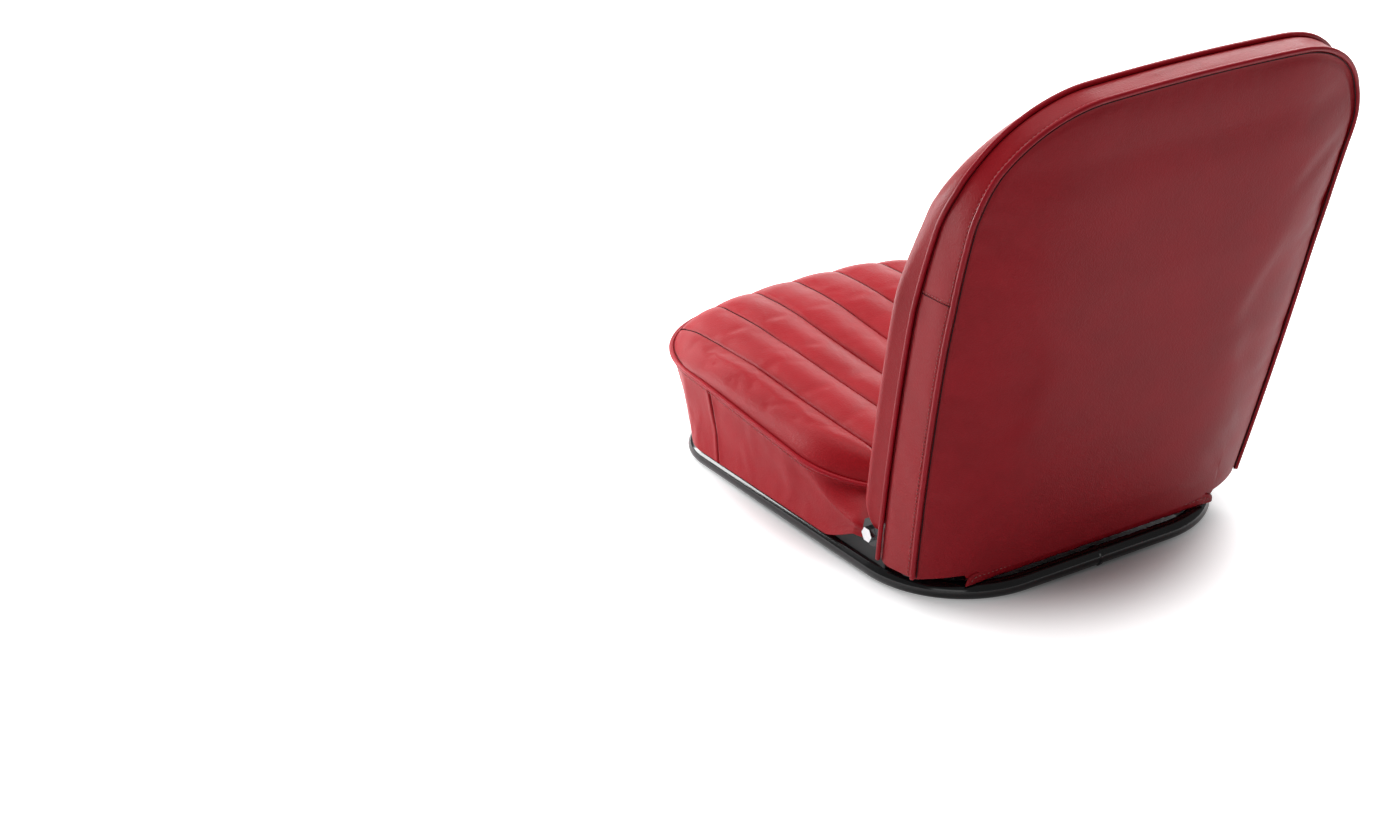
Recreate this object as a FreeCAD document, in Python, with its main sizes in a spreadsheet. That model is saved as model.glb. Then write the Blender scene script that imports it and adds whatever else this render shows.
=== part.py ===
import FreeCAD, Part
import math
import os
import Sketcher
from FreeCAD import Placement, Rotation, Vector

# Tipping bucket seat: a cushion on a bent-tube base with floor runners, and an
# upholstered backrest that folds forward on two shoulder bolts.
# Millimetres. +Z is up, the seat faces -Y, and the origin lies on the floor in
# the middle of the four floor bolt holes. Left and right are the sitter's.

SIZES = {
    # base tube, one loop lying on the floor
    "tube_diameter": 19.05,
    "tube_wall": 1.6,
    "base_width": 430.0,
    "base_depth": 490.0,
    "rear_bend_radius": 108.0,
    "front_bend_radius": 60.0,
    "butt_gap": 0.2,
    "weld_width": 5.0,
    "weld_height": 1.2,
    "weld_clearance": 0.05,
    # floor runners
    "runner_width": 30.0,
    "runner_height": 13.0,
    "runner_wall": 2.5,
    "floor_hole_diameter": 8.5,
    "floor_hole_inset_across": 60.0,
    "floor_hole_inset_along": 90.0,
    # pivot brackets on the side tubes
    "bracket_thickness": 4.0,
    "bracket_ahead": 72.0,
    "bracket_behind": 16.0,
    "pivot_from_rear": 111.0,
    "bracket_rise": 15.0,
    "ear_radius": 14.0,
    "ear_blend": 26.0,
    "pivot_height": 54.0,
    # pivot bolts
    "bolt_diameter": 9.525,
    "bolt_head_flats": 14.3,
    "bolt_head_height": 6.0,
    "bolt_end_beyond_nut": 1.5,
    "nut_height": 8.0,
    "washer_diameter": 20.0,
    "washer_thickness": 1.5,
    "bolt_hole_clearance": 0.04,
    "lug_side_clearance": 0.3,
    # hinge lugs welded to the backrest's legs
    "lug_thickness": 4.0,
    "lug_foot_low": 22.0,
    "lug_foot_high": 66.0,
    # backrest tubes
    "lean_angle": 14.3,
    "fold_angle": 57.0,
    "hoop_depth": 50.0,
    "hoop_foot": -8.0,
    "cross_tube_diameter": 12.7,
    "cross_tube_wall": 1.2,
    "cross_tube_depth": 83.0,
    "cross_tube_above_hem": 9.0,
    "cross_tube_flat": 125.0,
    "cross_tube_bend": 60.0,
    "plug_length": 16.0,
    "plug_clearance": 0.1,
    # backrest outline, across and along its own plane
    "back_overhang": 25.0,
    "shoulder_height": 424.0,
    "shoulder_radius": 108.0,
    "top_radius": 1300.0,
    "side_radius": 3940.0,
    "back_foot": -18.0,
    "front_seam_depth": 32.5,
    "rear_seam_depth": 67.0,
    "rear_crown": 33.0,
    "front_roll": 43.0,
    "roll_foot": 18.0,
    "hem_height": 3.5,
    "leg_width": 75.0,
    "clip_from_leg": 54.0,
    "arch_corner_radius": 12.0,
    "hem_drop": 13.5,
    "hem_thickness": 2.4,
    "hem_depth": 96.0,
    "clip_width": 18.0,
    "clip_gauge": 1.2,
    "cover_thickness": 2.5,
    "piping_diameter": 6.5,
    "webbing_width": 50.0,
    "webbing_thickness": 2.0,
    "webbing_pitch": 105.0,
    "webbing_lowest": 95.0,
    # cushion
    "board_thickness": 9.0,
    "board_inset": 28.0,
    "cushion_overhang": 2.0,
    "cushion_foot_inset": 0.5,
    "cushion_nose": 51.0,
    "cushion_foot_setback": 2.0,
    "cushion_behind_pivot": 1.0,
    "cushion_foot_height": 19.5,
    "cushion_front_corner": 66.0,
    "cushion_rear_corner": 76.0,
    "cushion_foot_rear_corner": 56.0,
    "cushion_front_bow": 560.0,
    "boxing_waist": 4.0,
    "seam_height": 92.0,
    "seam_slope_angle": 4.7,
    "top_crown": 28.5,
    "top_slope_angle": 0.9,
    # sewn channels
    "flute_pitch": 56.0,
    "flute_depth": 5.5,
    "flute_roll": 20.0,
    "cushion_flutes_each_side": 3,
    "back_flutes_each_side": 2,
    "back_flute_top": 450.0,
    # clearances between soft pieces
    "soft_gap": 0.3,
    "fold_gap": 1.5,
    "floor_gap": 1.0,
}

# Sizes that follow from the ones above, kept as formulas of the sheet
FOLLOWING = {
    "pivot_along": "=base_depth / 2 - pivot_from_rear",
    "bracket_front_end": "=pivot_along - bracket_ahead",
    "bracket_rear_end": "=pivot_along + bracket_behind",
    "floor_hole_spacing_across": "=base_width - 2 * floor_hole_inset_across",
    "floor_hole_spacing_along": "=base_depth - 2 * floor_hole_inset_along",
    "back_half_width": "=base_width / 2 + back_overhang",
    "arch_half_width": "=back_half_width - leg_width",
    "clip_spacing": "=2 * (arch_half_width - clip_from_leg)",
    "cushion_half_width": "=base_width / 2 + cushion_overhang",
    "cushion_foot_half_width": "=base_width / 2 - cushion_foot_inset",
    "cushion_front": "=base_depth / 2 + cushion_nose",
    "cushion_foot_front": "=base_depth / 2 - cushion_foot_setback",
    "cushion_rear": "=pivot_along + cushion_behind_pivot",
}

doc = FreeCAD.newDocument("tipping_bucket_seat")
sheet = doc.addObject("Spreadsheet::Sheet", "Sizes")
for row, (alias, value) in enumerate([*SIZES.items(), *FOLLOWING.items()], start=1):
    sheet.set(f"A{row}", alias)
    sheet.set(f"B{row}", str(value))
    sheet.setAlias(f"B{row}", alias)
doc.recompute()


def size(alias):
    """One driving dimension, read from the sheet."""
    return float(sheet.get(alias))


parts = []


def keep(piece, label, placement=None):
    """Names a finished sub-part, places it and puts it on the list that is written."""
    piece.Label = label
    if placement is not None:
        piece.Placement = placement
    parts.append(piece)
    return piece


def feature(label, shape, placement=None):
    """A sub-part whose shape is built with surface and boolean functions."""
    piece = doc.addObject("Part::Feature", label)
    piece.Shape = shape
    return keep(piece, label, placement)


# Places worked out from the driving dimensions

TUBE_R = size("tube_diameter") / 2
SIDE_X = size("base_width") / 2 - TUBE_R
END_Y = size("base_depth") / 2 - TUBE_R
BRACKET_IN = SIDE_X - size("bracket_thickness") / 2
BRACKET_OUT = SIDE_X + size("bracket_thickness") / 2
LUG_IN = BRACKET_OUT + size("washer_thickness") + size("lug_side_clearance")
LUG_OUT = LUG_IN + size("lug_thickness")
HEAD_IN = LUG_OUT + size("lug_side_clearance")
PIVOT = Vector(0, size("pivot_along"), size("pivot_height"))
# The backrest's own frame: X across, Y its depth (backwards), Z up along it, origin on the pivot axis.
BACK = Placement(PIVOT, Rotation(Vector(1, 0, 0), -size("lean_angle")))
SIDES = {"left": 1, "right": -1}


# Sketches and wires

def plane_of(body, role):
    """One of a body's own origin planes."""
    return next(feat for feat in body.Origin.OriginFeatures if feat.Role == role)


def sketch_on(body, role, name, offset=0.0):
    """A sketch on an origin plane of its body, shifted along that plane's normal."""
    sketch = body.newObject("Sketcher::SketchObject", name)
    sketch.AttachmentSupport = [(plane_of(body, role), "")]
    sketch.MapMode = "FlatFace"
    sketch.AttachmentOffset = Placement(Vector(0, 0, offset), Rotation())
    return sketch


def draw_polygon(sketch, corners):
    """A closed outline of straight sides; each corner is a pair of expressions of the sheet."""
    spots = [[float(sketch.evalExpression(text)) for text in corner] for corner in corners]
    first = sketch.GeometryCount
    count = len(corners)
    for i in range(count):
        start = Vector(*spots[i], 0)
        end = Vector(*spots[(i + 1) % count], 0)
        sketch.addGeometry(Part.LineSegment(start, end), False)
    for i in range(count):
        sketch.addConstraint(Sketcher.Constraint("Coincident", first + i, 2, first + (i + 1) % count, 1))
    for i, corner in enumerate(corners):
        for kind, value, text in zip(("DistanceX", "DistanceY"), spots[i], corner):
            number = sketch.addConstraint(Sketcher.Constraint(kind, -1, 1, first + i, 1, value))
            sketch.setExpression(f"Constraints[{number}]", text)


def draw_circle(sketch, centre, radius):
    """A circle whose centre and radius are expressions of the sheet."""
    x, y = [float(sketch.evalExpression(text)) for text in centre]
    ring = Part.Circle(Vector(x, y, 0), Vector(0, 0, 1), float(sketch.evalExpression(radius)))
    number = sketch.addGeometry(ring, False)
    for kind, value, text in (("DistanceX", x, centre[0]), ("DistanceY", y, centre[1])):
        tie = sketch.addConstraint(Sketcher.Constraint(kind, -1, 1, number, 3, value))
        sketch.setExpression(f"Constraints[{tie}]", text)
    tie = sketch.addConstraint(Sketcher.Constraint("Radius", number, float(sketch.evalExpression(radius))))
    sketch.setExpression(f"Constraints[{tie}]", radius)


def pad(body, sketch, name, length, midplane=False, reverse=False):
    """A pad whose length is an expression of the sheet."""
    result = body.newObject("PartDesign::Pad", name)
    result.Profile = sketch
    result.Midplane = midplane
    result.Reversed = reverse
    result.setExpression("Length", length)
    sketch.Visibility = False
    return result


def pocket_through(body, sketch, name):
    """A pocket right through, both ways from its sketch."""
    result = body.newObject("PartDesign::Pocket", name)
    result.Profile = sketch
    result.Type = 1
    result.Midplane = True
    return result


def hexagon(flats):
    """The corners of a hexagon across the given flats, as expressions."""
    corners = []
    for i in range(6):
        turn = math.radians(60 * i + 30)
        reach = 0.5 / math.cos(math.radians(30))
        across, along = reach * math.cos(turn), reach * math.sin(turn)
        corners.append((f"{flats} * {across:.9f}", f"{flats} * {along:.9f}"))
    return corners


def line(a, b):
    return Part.LineSegment(Vector(*a), Vector(*b)).toShape()


def arc(a, middle, b):
    return Part.Arc(Vector(*a), Vector(*middle), Vector(*b)).toShape()


def tube_along(path, start, direction, outer, inner=0.0):
    """A round tube or rod swept along a path of straight runs and tangent arcs."""
    def sweep(radius):
        ring = Part.Wire(Part.makeCircle(radius, start, direction))
        return path.makePipeShell([ring], True, False)
    solid = sweep(outer)
    return solid.cut(sweep(inner)) if inner else solid


def point_on(centre, radius, degrees):
    turn = math.radians(degrees)
    return centre[0] + radius * math.cos(turn), centre[1] + radius * math.sin(turn)


# Base

def loop_path(gap):
    """The base tube's centreline, open by a gap in the middle of the rear run."""
    rear, front = size("rear_bend_radius"), size("front_bend_radius")
    z = TUBE_R
    edges = []
    spots = [(-gap / 2, END_Y)]
    bends = [(-1, 1, rear, 90), (-1, -1, front, 180), (1, -1, front, 270), (1, 1, rear, 0)]
    for across, along, radius, first in bends:
        centre = (across * (SIDE_X - radius), along * (END_Y - radius))
        begin = point_on(centre, radius, first)
        middle = point_on(centre, radius, first + 45)
        end = point_on(centre, radius, first + 90)
        edges.append(line((*spots[-1], z), (*begin, z)))
        edges.append(arc((*begin, z), (*middle, z), (*end, z)))
        spots.append(end)
    edges.append(line((*spots[-1], z), (gap / 2, END_Y, z)))
    return Part.Wire(edges)


def loop_tube(outer, inner=0.0):
    gap = size("butt_gap")
    return tube_along(loop_path(gap), Vector(-gap / 2, END_Y, TUBE_R), Vector(1, 0, 0), outer, inner)


def base_tube():
    """The bent base tube, open at its butt joint."""
    feature("base_tube", loop_tube(TUBE_R, TUBE_R - size("tube_wall")))


def base_tube_weld():
    """The weld bead round the butt joint at the rear, ground away under the tube."""
    body = doc.addObject("PartDesign::Body", "base_tube_weld_body")
    profile = sketch_on(body, "XY_Plane", "bead_section")
    low = "Sizes.tube_diameter / 2"
    half = "Sizes.weld_width / 2"
    draw_polygon(profile, [(f"-{half}", low), (half, low),
                           (f"{half} * 0.55", f"{low} + Sizes.weld_height"),
                           (f"-{half} * 0.55", f"{low} + Sizes.weld_height")])
    turn = body.newObject("PartDesign::Revolution", "bead")
    turn.Profile = profile
    turn.ReferenceAxis = (profile, ["H_Axis"])
    turn.Angle = 360
    body.Placement = Placement(Vector(0, END_Y, TUBE_R), Rotation())
    floor = doc.addObject("Part::Box", "floor_under_bead")
    floor.setExpression("Length", "Sizes.weld_width * 2")
    floor.setExpression("Width", "Sizes.tube_diameter * 2")
    floor.setExpression("Height", "Sizes.tube_diameter")
    low = size("soft_gap") - 2 * TUBE_R
    floor.Placement = Placement(Vector(-size("weld_width"), END_Y - 2 * TUBE_R, low), Rotation())
    ground = doc.addObject("Part::Cut", "ground_bead")
    ground.Base = body
    ground.Tool = floor
    keep(ground, "base_tube_weld")


def beyond_loop():
    """All the space outside the loop's centreline, up to the tube's top."""
    span, top = 2 * size("base_depth"), size("tube_diameter")
    inside = loop_path(0)
    inside.translate(Vector(0, 0, -TUBE_R))
    block = Part.makeBox(span, span, top, Vector(-span / 2, -span / 2, 0))
    return block.cut(Part.Face(inside).extrude(Vector(0, 0, top)))


def coped(body, label, trimmed=False):
    """A base piece with its ends or edge cut to the base tube's outside."""
    cutter = doc.addObject("Part::Feature", f"{label}_cope")
    tube = loop_tube(TUBE_R + size("weld_clearance"))
    cutter.Shape = tube.fuse(beyond_loop()) if trimmed else tube
    cut = doc.addObject("Part::Cut", f"{label}_cut")
    cut.Base = body
    cut.Tool = cutter
    return keep(cut, label)


def runner(side):
    """A floor runner: an open-topped channel between the front and rear of the loop."""
    sign = SIDES[side]
    body = doc.addObject("PartDesign::Body", f"{side}_runner_body")
    section = sketch_on(body, "XZ_Plane", "channel_section")
    half, wall, top = "Sizes.runner_width / 2", "Sizes.runner_wall", "Sizes.runner_height"
    draw_polygon(section, [(f"-{half}", "0"), (half, "0"), (half, top), (f"{half} - {wall}", top),
                           (f"{half} - {wall}", wall), (f"{wall} - {half}", wall),
                           (f"{wall} - {half}", top), (f"-{half}", top)])
    pad(body, section, "channel", "Sizes.base_depth - Sizes.tube_diameter", midplane=True)
    holes = sketch_on(body, "XY_Plane", "floor_holes")
    for end in ("", "-"):
        middle = ("0", f"{end}Sizes.floor_hole_spacing_along / 2")
        draw_circle(holes, middle, "Sizes.floor_hole_diameter / 2")
    pocket_through(body, holes, "floor_bolt_holes")
    body.Placement = Placement(Vector(sign * size("floor_hole_spacing_across") / 2, 0, 0), Rotation())
    coped(body, f"{side}_runner", trimmed=True)


def pivot_bracket(side):
    """A plate on top of the side tube that rises to the pivot ear."""
    sign = SIDES[side]
    body = doc.addObject("PartDesign::Body", f"{side}_bracket_body")
    plate = sketch_on(body, "YZ_Plane", "plate_outline")
    low, top = "Sizes.tube_diameter / 2", "Sizes.tube_diameter + Sizes.bracket_rise"
    draw_polygon(plate, [("Sizes.bracket_front_end", low), ("Sizes.bracket_rear_end", low),
                         ("Sizes.bracket_rear_end", top),
                         ("Sizes.pivot_along + Sizes.ear_radius", "Sizes.pivot_height"),
                         ("Sizes.pivot_along - Sizes.ear_radius", "Sizes.pivot_height"),
                         ("Sizes.pivot_along - Sizes.ear_radius - Sizes.ear_blend", top),
                         ("Sizes.bracket_front_end", top)])
    pad(body, plate, "plate", "Sizes.bracket_thickness", midplane=True)
    ear = sketch_on(body, "YZ_Plane", "ear_outline")
    draw_circle(ear, ("Sizes.pivot_along", "Sizes.pivot_height"), "Sizes.ear_radius")
    pad(body, ear, "ear", "Sizes.bracket_thickness", midplane=True)
    hole = sketch_on(body, "YZ_Plane", "pivot_hole")
    draw_circle(hole, ("Sizes.pivot_along", "Sizes.pivot_height"),
                "Sizes.bolt_diameter / 2 + Sizes.bolt_hole_clearance")
    pocket_through(body, hole, "pivot_bore")
    body.Placement = Placement(Vector(sign * SIDE_X, 0, 0), Rotation())
    coped(body, f"{side}_pivot_bracket")


def pivot_fastener(side, label, draw, thickness, inner_x, bore=True):
    """A nut or washer on the pivot axis: a pad of its outline, with the bolt's bore."""
    sign = SIDES[side]
    body = doc.addObject("PartDesign::Body", f"{label}_body")
    outline = sketch_on(body, "XY_Plane", "outline")
    draw(outline)
    if bore:
        draw_circle(outline, ("0", "0"), "Sizes.bolt_diameter / 2 + Sizes.bolt_hole_clearance")
    pad(body, outline, "blank", thickness)
    spot = Vector(sign * inner_x, PIVOT.y, PIVOT.z)
    keep(body, label, Placement(spot, Rotation(Vector(0, 1, 0), sign * 90)))
    return body


def pivot_bolt(side):
    """The hexagon-headed shoulder bolt that the backrest turns on."""
    body = doc.addObject("PartDesign::Body", f"{side}_bolt_body")
    shank = sketch_on(body, "XY_Plane", "shank_outline")
    draw_circle(shank, ("0", "0"), "Sizes.bolt_diameter / 2")
    pad(body, shank, "shank", f"{HEAD_IN - NUT_IN} + Sizes.bolt_end_beyond_nut", reverse=True)
    head = sketch_on(body, "XY_Plane", "head_outline")
    draw_polygon(head, hexagon("Sizes.bolt_head_flats"))
    pad(body, head, "head", "Sizes.bolt_head_height")
    sign = SIDES[side]
    keep(body, f"{side}_pivot_bolt",
         Placement(Vector(sign * HEAD_IN, PIVOT.y, PIVOT.z), Rotation(Vector(0, 1, 0), sign * 90)))


NUT_OUT = BRACKET_IN - size("washer_thickness")
NUT_IN = NUT_OUT - size("nut_height")


def pivot_hardware(side):
    """The bolt, its nut, and a washer each side of the bracket."""
    pivot_bolt(side)

    def round_washer(sketch):
        draw_circle(sketch, ("0", "0"), "Sizes.washer_diameter / 2")

    def nut_outline(sketch):
        draw_polygon(sketch, hexagon("Sizes.bolt_head_flats"))

    pivot_fastener(side, f"{side}_spacer_washer", round_washer, "Sizes.washer_thickness", BRACKET_OUT)
    pivot_fastener(side, f"{side}_nut_washer", round_washer, "Sizes.washer_thickness", NUT_OUT)
    pivot_fastener(side, f"{side}_pivot_nut", nut_outline, "Sizes.nut_height", NUT_IN)


# Cushion

def plan_outline(half_width, front, rear, front_corner, rear_corner, tilt=0.0, height=0.0):
    """The cushion seen from above: bowed front, straight sides, rounded rear corners.

    The outline is drawn level, tipped about the X axis by the tilt and lifted to its height."""
    bow = size("cushion_front_bow")
    bow_centre_y = bow - front
    reach = math.sqrt((bow - front_corner) ** 2 - (half_width - front_corner) ** 2)
    corner_y = bow_centre_y - reach
    front_centre = (half_width - front_corner, corner_y)
    turn = math.degrees(math.atan2(-reach, front_centre[0]))
    meet = point_on(front_centre, front_corner, turn)
    knee = point_on(front_centre, front_corner, turn / 2)
    rear_centre = (half_width - rear_corner, rear - rear_corner)
    knuckle = point_on(rear_centre, rear_corner, 45)

    def spot(point, sign=1):
        return sign * point[0], point[1], 0

    side_front = (half_width, corner_y)
    side_rear = (half_width, rear_centre[1])
    rear_end = (rear_centre[0], rear)
    nose = (0, bow_centre_y - bow, 0)
    edges = [
        line(spot(side_front), spot(side_rear)),
        arc(spot(side_rear), spot(knuckle), spot(rear_end)),
        line(spot(rear_end), spot(rear_end, -1)),
        arc(spot(rear_end, -1), spot(knuckle, -1), spot(side_rear, -1)),
        line(spot(side_rear, -1), spot(side_front, -1)),
        arc(spot(side_front, -1), spot(knee, -1), spot(meet, -1)),
        arc(spot(meet, -1), nose, spot(meet)),
        arc(spot(meet), spot(knee), spot(side_front)),
    ]
    wire = Part.Wire(edges)
    wire.Placement = Placement(Vector(0, 0, height), Rotation(Vector(1, 0, 0), -tilt))
    return wire


def seam_outline(inset=0.0, lift=0.0):
    """The cushion's piped top seam, moved in and up."""
    return plan_outline(size("cushion_half_width") - inset, size("cushion_front") - inset,
                        size("cushion_rear") - inset, size("cushion_front_corner") - inset,
                        size("cushion_rear_corner") - inset, size("seam_slope_angle"),
                        size("seam_height") + lift)


def boxing_form(inset, foot_lift, seam_lift):
    """The side walls' form from the base tube to the piped seam, drawn in at the waist."""
    foot = size("cushion_foot_height")
    corner = size("front_bend_radius") - inset
    rear_corner = size("cushion_foot_rear_corner") - inset
    rear = size("cushion_rear") - inset
    waist = size("boxing_waist")
    foot_width = size("cushion_foot_half_width") - inset
    top_width = size("cushion_half_width") - inset
    foot_front = size("cushion_foot_front") - inset
    top_front = size("cushion_front") - inset
    middle = (foot + size("seam_height")) / 2
    slope = size("seam_slope_angle")
    sections = [
        plan_outline(foot_width, foot_front, rear, corner, rear_corner, 0, foot + foot_lift),
        plan_outline((foot_width + top_width) / 2 - waist, (foot_front + top_front) / 2 + waist,
                     rear - waist, corner, rear_corner, slope / 2, middle),
        seam_outline(inset, seam_lift),
    ]
    return Part.makeLoft(sections, True, False)


def cushion_board():
    """The plywood board under the foam, resting on the runners inside the loop."""
    body = doc.addObject("PartDesign::Body", "cushion_board_body")
    outline = sketch_on(body, "XY_Plane", "board_outline", size("runner_height"))
    side = "(Sizes.base_width / 2 - Sizes.board_inset)"
    front = "(Sizes.board_inset - Sizes.base_depth / 2)"
    rear = "(Sizes.cushion_rear - Sizes.board_inset / 2)"
    trim = "Sizes.cushion_rear_corner"
    nose = "Sizes.front_bend_radius / 2"
    draw_polygon(outline, [(side, f"{front} + {nose}"), (side, f"{rear} - {trim}"),
                           (f"{side} - {trim}", rear),
                           (f"{trim} - {side}", rear), (f"-{side}", f"{rear} - {trim}"),
                           (f"-{side}", f"{front} + {nose}"), (f"{nose} - {side}", front),
                           (f"{side} - {nose}", front)])
    pad(body, outline, "board", "Sizes.board_thickness")
    keep(body, "cushion_board")


def bracket_slots():
    """The slots that clear the brackets' front ends at the cushion's rear corners."""
    gap = size("soft_gap")
    front = size("bracket_front_end") - gap
    rear = size("pivot_along") - size("ear_radius") - gap
    top = size("tube_diameter") + size("bracket_rise") + size("ear_blend") / 4
    slots = []
    for sign in SIDES.values():
        low = min(sign * (BRACKET_IN - gap), sign * (BRACKET_OUT + gap))
        wide = size("bracket_thickness") + 2 * gap
        slots.append(Part.makeBox(wide, rear - front, top, Vector(low, front, 0)))
    return slots


def cushion_foam():
    """The moulded foam inside the boxing, on the board."""
    gap = size("soft_gap")
    foam = boxing_form(size("piping_diameter") / 2 + gap, gap, -gap).cut(bracket_slots())
    top_of_board = size("runner_height") + size("board_thickness") + size("soft_gap")
    span = 2 * size("base_depth")
    below = Part.makeBox(span, span, top_of_board, Vector(-span / 2, -span / 2, 0))
    feature("cushion_foam", foam.cut(below))


def cushion_piping():
    """The piping cord round the top edge, lying in the seam."""
    start = Vector(size("cushion_half_width"), 0, 0)
    path = plan_outline(size("cushion_half_width"), size("cushion_front"), size("cushion_rear"),
                        size("cushion_front_corner"), size("cushion_rear_corner"))
    ring = Part.Wire(Part.makeCircle(size("piping_diameter") / 2,
                                     Vector(start.x, path.Edges[0].Vertexes[0].Y, 0), Vector(0, 1, 0)))
    return path.makePipeShell([ring], True, False)


SEAM_PLACE = Placement(Vector(0, 0, size("seam_height")),
                       Rotation(Vector(1, 0, 0), -size("seam_slope_angle")))


def cushion_skins():
    """The side boxing, the fluted top and the piping between them."""
    rope = cushion_piping()
    rope.Placement = SEAM_PLACE
    thick = size("cover_thickness")
    outside = boxing_form(0, 0, -size("piping_diameter") / 2)
    wall = outside.cut(boxing_form(thick, -thick, thick))
    feature("cushion_boxing", wall.cut(bracket_slots()))
    feature("cushion_top_panel", cushion_top().cut(rope))
    feature("cushion_piping", rope)


def channel_seam(start, end, up):
    """The space between two sewn channels: a cusp running straight along their seam."""
    deep, roll = size("flute_depth"), size("flute_roll")
    clear = 4 * deep
    across = Vector(1, 0, 0)

    def spot(side, height):
        return start + across * side + up * height

    def flank(sign):
        middle = spot(sign * roll * 0.4, -deep * 0.36)
        return Part.Arc(spot(0, -deep), middle, spot(sign * roll, 1.0)).toShape()

    rim = [spot(roll, 1.0), spot(roll, clear), spot(-roll, clear), spot(-roll, 1.0)]
    edges = [flank(1), *Part.makePolygon(rim).Edges, flank(-1)]
    return Part.Face(Part.Wire(Part.__sortEdges__(edges))).extrude(end - start)


def cushion_top():
    """The crowned top panel with its sewn channels, above the piped seam."""
    crown = size("top_crown")
    level = size("seam_height") + crown
    gap = size("soft_gap")
    slopes = size("seam_slope_angle"), size("top_slope_angle")

    def section(inset, rise, blend):
        tilt = slopes[0] + (slopes[1] - slopes[0]) * blend
        return plan_outline(size("cushion_half_width") - inset, size("cushion_front") - inset,
                            size("cushion_rear") - inset, size("cushion_front_corner") - inset / 2,
                            size("cushion_rear_corner") - inset / 2, tilt, size("seam_height") + rise)

    sections = [section(0.5, gap, 0), section(2.5, crown * 0.45, 0.5), section(11, crown * 0.82, 0.85),
                section(26, crown, 1)]
    panel = Part.makeLoft(sections, True, False)
    tip = Rotation(Vector(1, 0, 0), -slopes[1])
    up = tip.multVec(Vector(0, 0, 1))
    ahead = tip.multVec(Vector(0, size("base_depth"), 0))
    flutes = size_count("cushion_flutes_each_side")
    for i in range(-flutes, flutes + 1):
        middle = Vector(i * size("flute_pitch"), 0, level)
        panel = panel.cut(channel_seam(middle - ahead, middle + ahead, up))
    return panel


def size_count(alias):
    return int(round(size(alias)))


# Backrest, drawn in its own frame and placed on the pivot

def back_points(inset=0.0, scale=1.0):
    """The outline's corners and arc middles, moved in and shrunk towards the middle of its foot."""
    width, shoulder = size("back_half_width"), size("shoulder_height")
    corner, top, side = size("shoulder_radius"), size("top_radius"), size("side_radius")
    foot = size("back_foot")
    corner_x = width - corner
    top_y = shoulder - math.sqrt((top - corner) ** 2 - corner_x ** 2)
    turn = math.degrees(math.atan2(shoulder - top_y, corner_x))
    side_x = width - side
    low = -math.degrees(math.asin((shoulder - foot) / (side - inset)))
    points = {
        "foot": (point_on((side_x, shoulder), side - inset, low)[0], foot),
        "flank": point_on((side_x, shoulder), side - inset, low / 2),
        "shoulder": (width - inset, shoulder),
        "knee": point_on((corner_x, shoulder), corner - inset, turn / 2),
        "turn": point_on((corner_x, shoulder), corner - inset, turn),
        "top": (0, top_y + top - inset),
    }
    return {name: (x * scale, foot + (z - foot) * scale) for name, (x, z) in points.items()}


def back_outline(depth, inset=0.0, scale=1.0, closed=True):
    """The backrest's outline at one depth: foot, bowed sides, round shoulders and crowned top."""
    points = back_points(inset, scale)

    def spot(name, sign=1):
        x, z = points[name]
        return sign * x, depth, z

    edges = [
        arc(spot("foot"), spot("flank"), spot("shoulder")),
        arc(spot("shoulder"), spot("knee"), spot("turn")),
        arc(spot("turn"), spot("top"), spot("turn", -1)),
        arc(spot("turn", -1), spot("knee", -1), spot("shoulder", -1)),
        arc(spot("shoulder", -1), spot("flank", -1), spot("foot", -1)),
    ]
    if closed:
        edges.append(line(spot("foot", -1), spot("foot")))
    return Part.Wire(edges)


def back_prism(front, rear, inset):
    return Part.Face(back_outline(front, inset)).extrude(Vector(0, rear - front, 0))


def back_tube(path, outer, inner=0.0):
    """A tube or cord along an open backrest outline, starting square at the left foot."""
    first = path.Edges[0]
    start = first.valueAt(first.FirstParameter)
    heading = first.tangentAt(first.FirstParameter)
    return tube_along(path, start, heading, outer, inner)


def slab(low, high):
    """All the space between two heights of the backrest's frame."""
    span = 2 * size("base_width")
    return Part.makeBox(span, span, high - low, Vector(-span / 2, -span / 2, low))


def hoop(outer, inner=0.0):
    """The bent hoop inside the backrest, its legs ending above the base tube."""
    tube = back_tube(back_outline(size("hoop_depth"), hoop_inset(), closed=False), outer, inner)
    return tube.common(slab(size("hoop_foot"), 2 * size("shoulder_height")))


def hoop_inset():
    return back_points()["foot"][0] - (LUG_IN - TUBE_R) + 1.5


def cross_tube(outer, inner=0.0):
    """The bottom cross tube, bowed back behind the legs to carry the hem."""
    height = size("hem_height") + size("cross_tube_above_hem")
    flat, bend = size("cross_tube_flat"), size("cross_tube_bend")
    near, far = size("hoop_depth"), size("cross_tube_depth")
    end_x = LUG_IN - TUBE_R
    slope = math.degrees(math.atan2(far - near, end_x - flat))
    cut = bend * math.tan(math.radians(slope / 2))
    run = Vector(math.cos(math.radians(slope)), -math.sin(math.radians(slope)), 0)

    def spot(sign):
        corner = Vector(sign * flat, far, height)
        out = corner + Vector(sign * run.x, run.y, 0) * cut
        inside = corner - Vector(sign, 0, 0) * cut
        middle_turn = math.radians(90 - slope / 2)
        centre = inside - Vector(0, bend, 0)
        middle = centre + Vector(sign * bend * math.cos(middle_turn), bend * math.sin(middle_turn), 0)
        return Vector(sign * end_x, near, height), out, middle, inside

    end_l, out_l, mid_l, in_l = spot(1)
    end_r, out_r, mid_r, in_r = spot(-1)
    path = Part.Wire([
        Part.LineSegment(end_l, out_l).toShape(), Part.Arc(out_l, mid_l, in_l).toShape(),
        Part.LineSegment(in_l, in_r).toShape(), Part.Arc(in_r, mid_r, out_r).toShape(),
        Part.LineSegment(out_r, end_r).toShape()])
    return tube_along(path, end_l, out_l - end_l, outer, inner)


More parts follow.
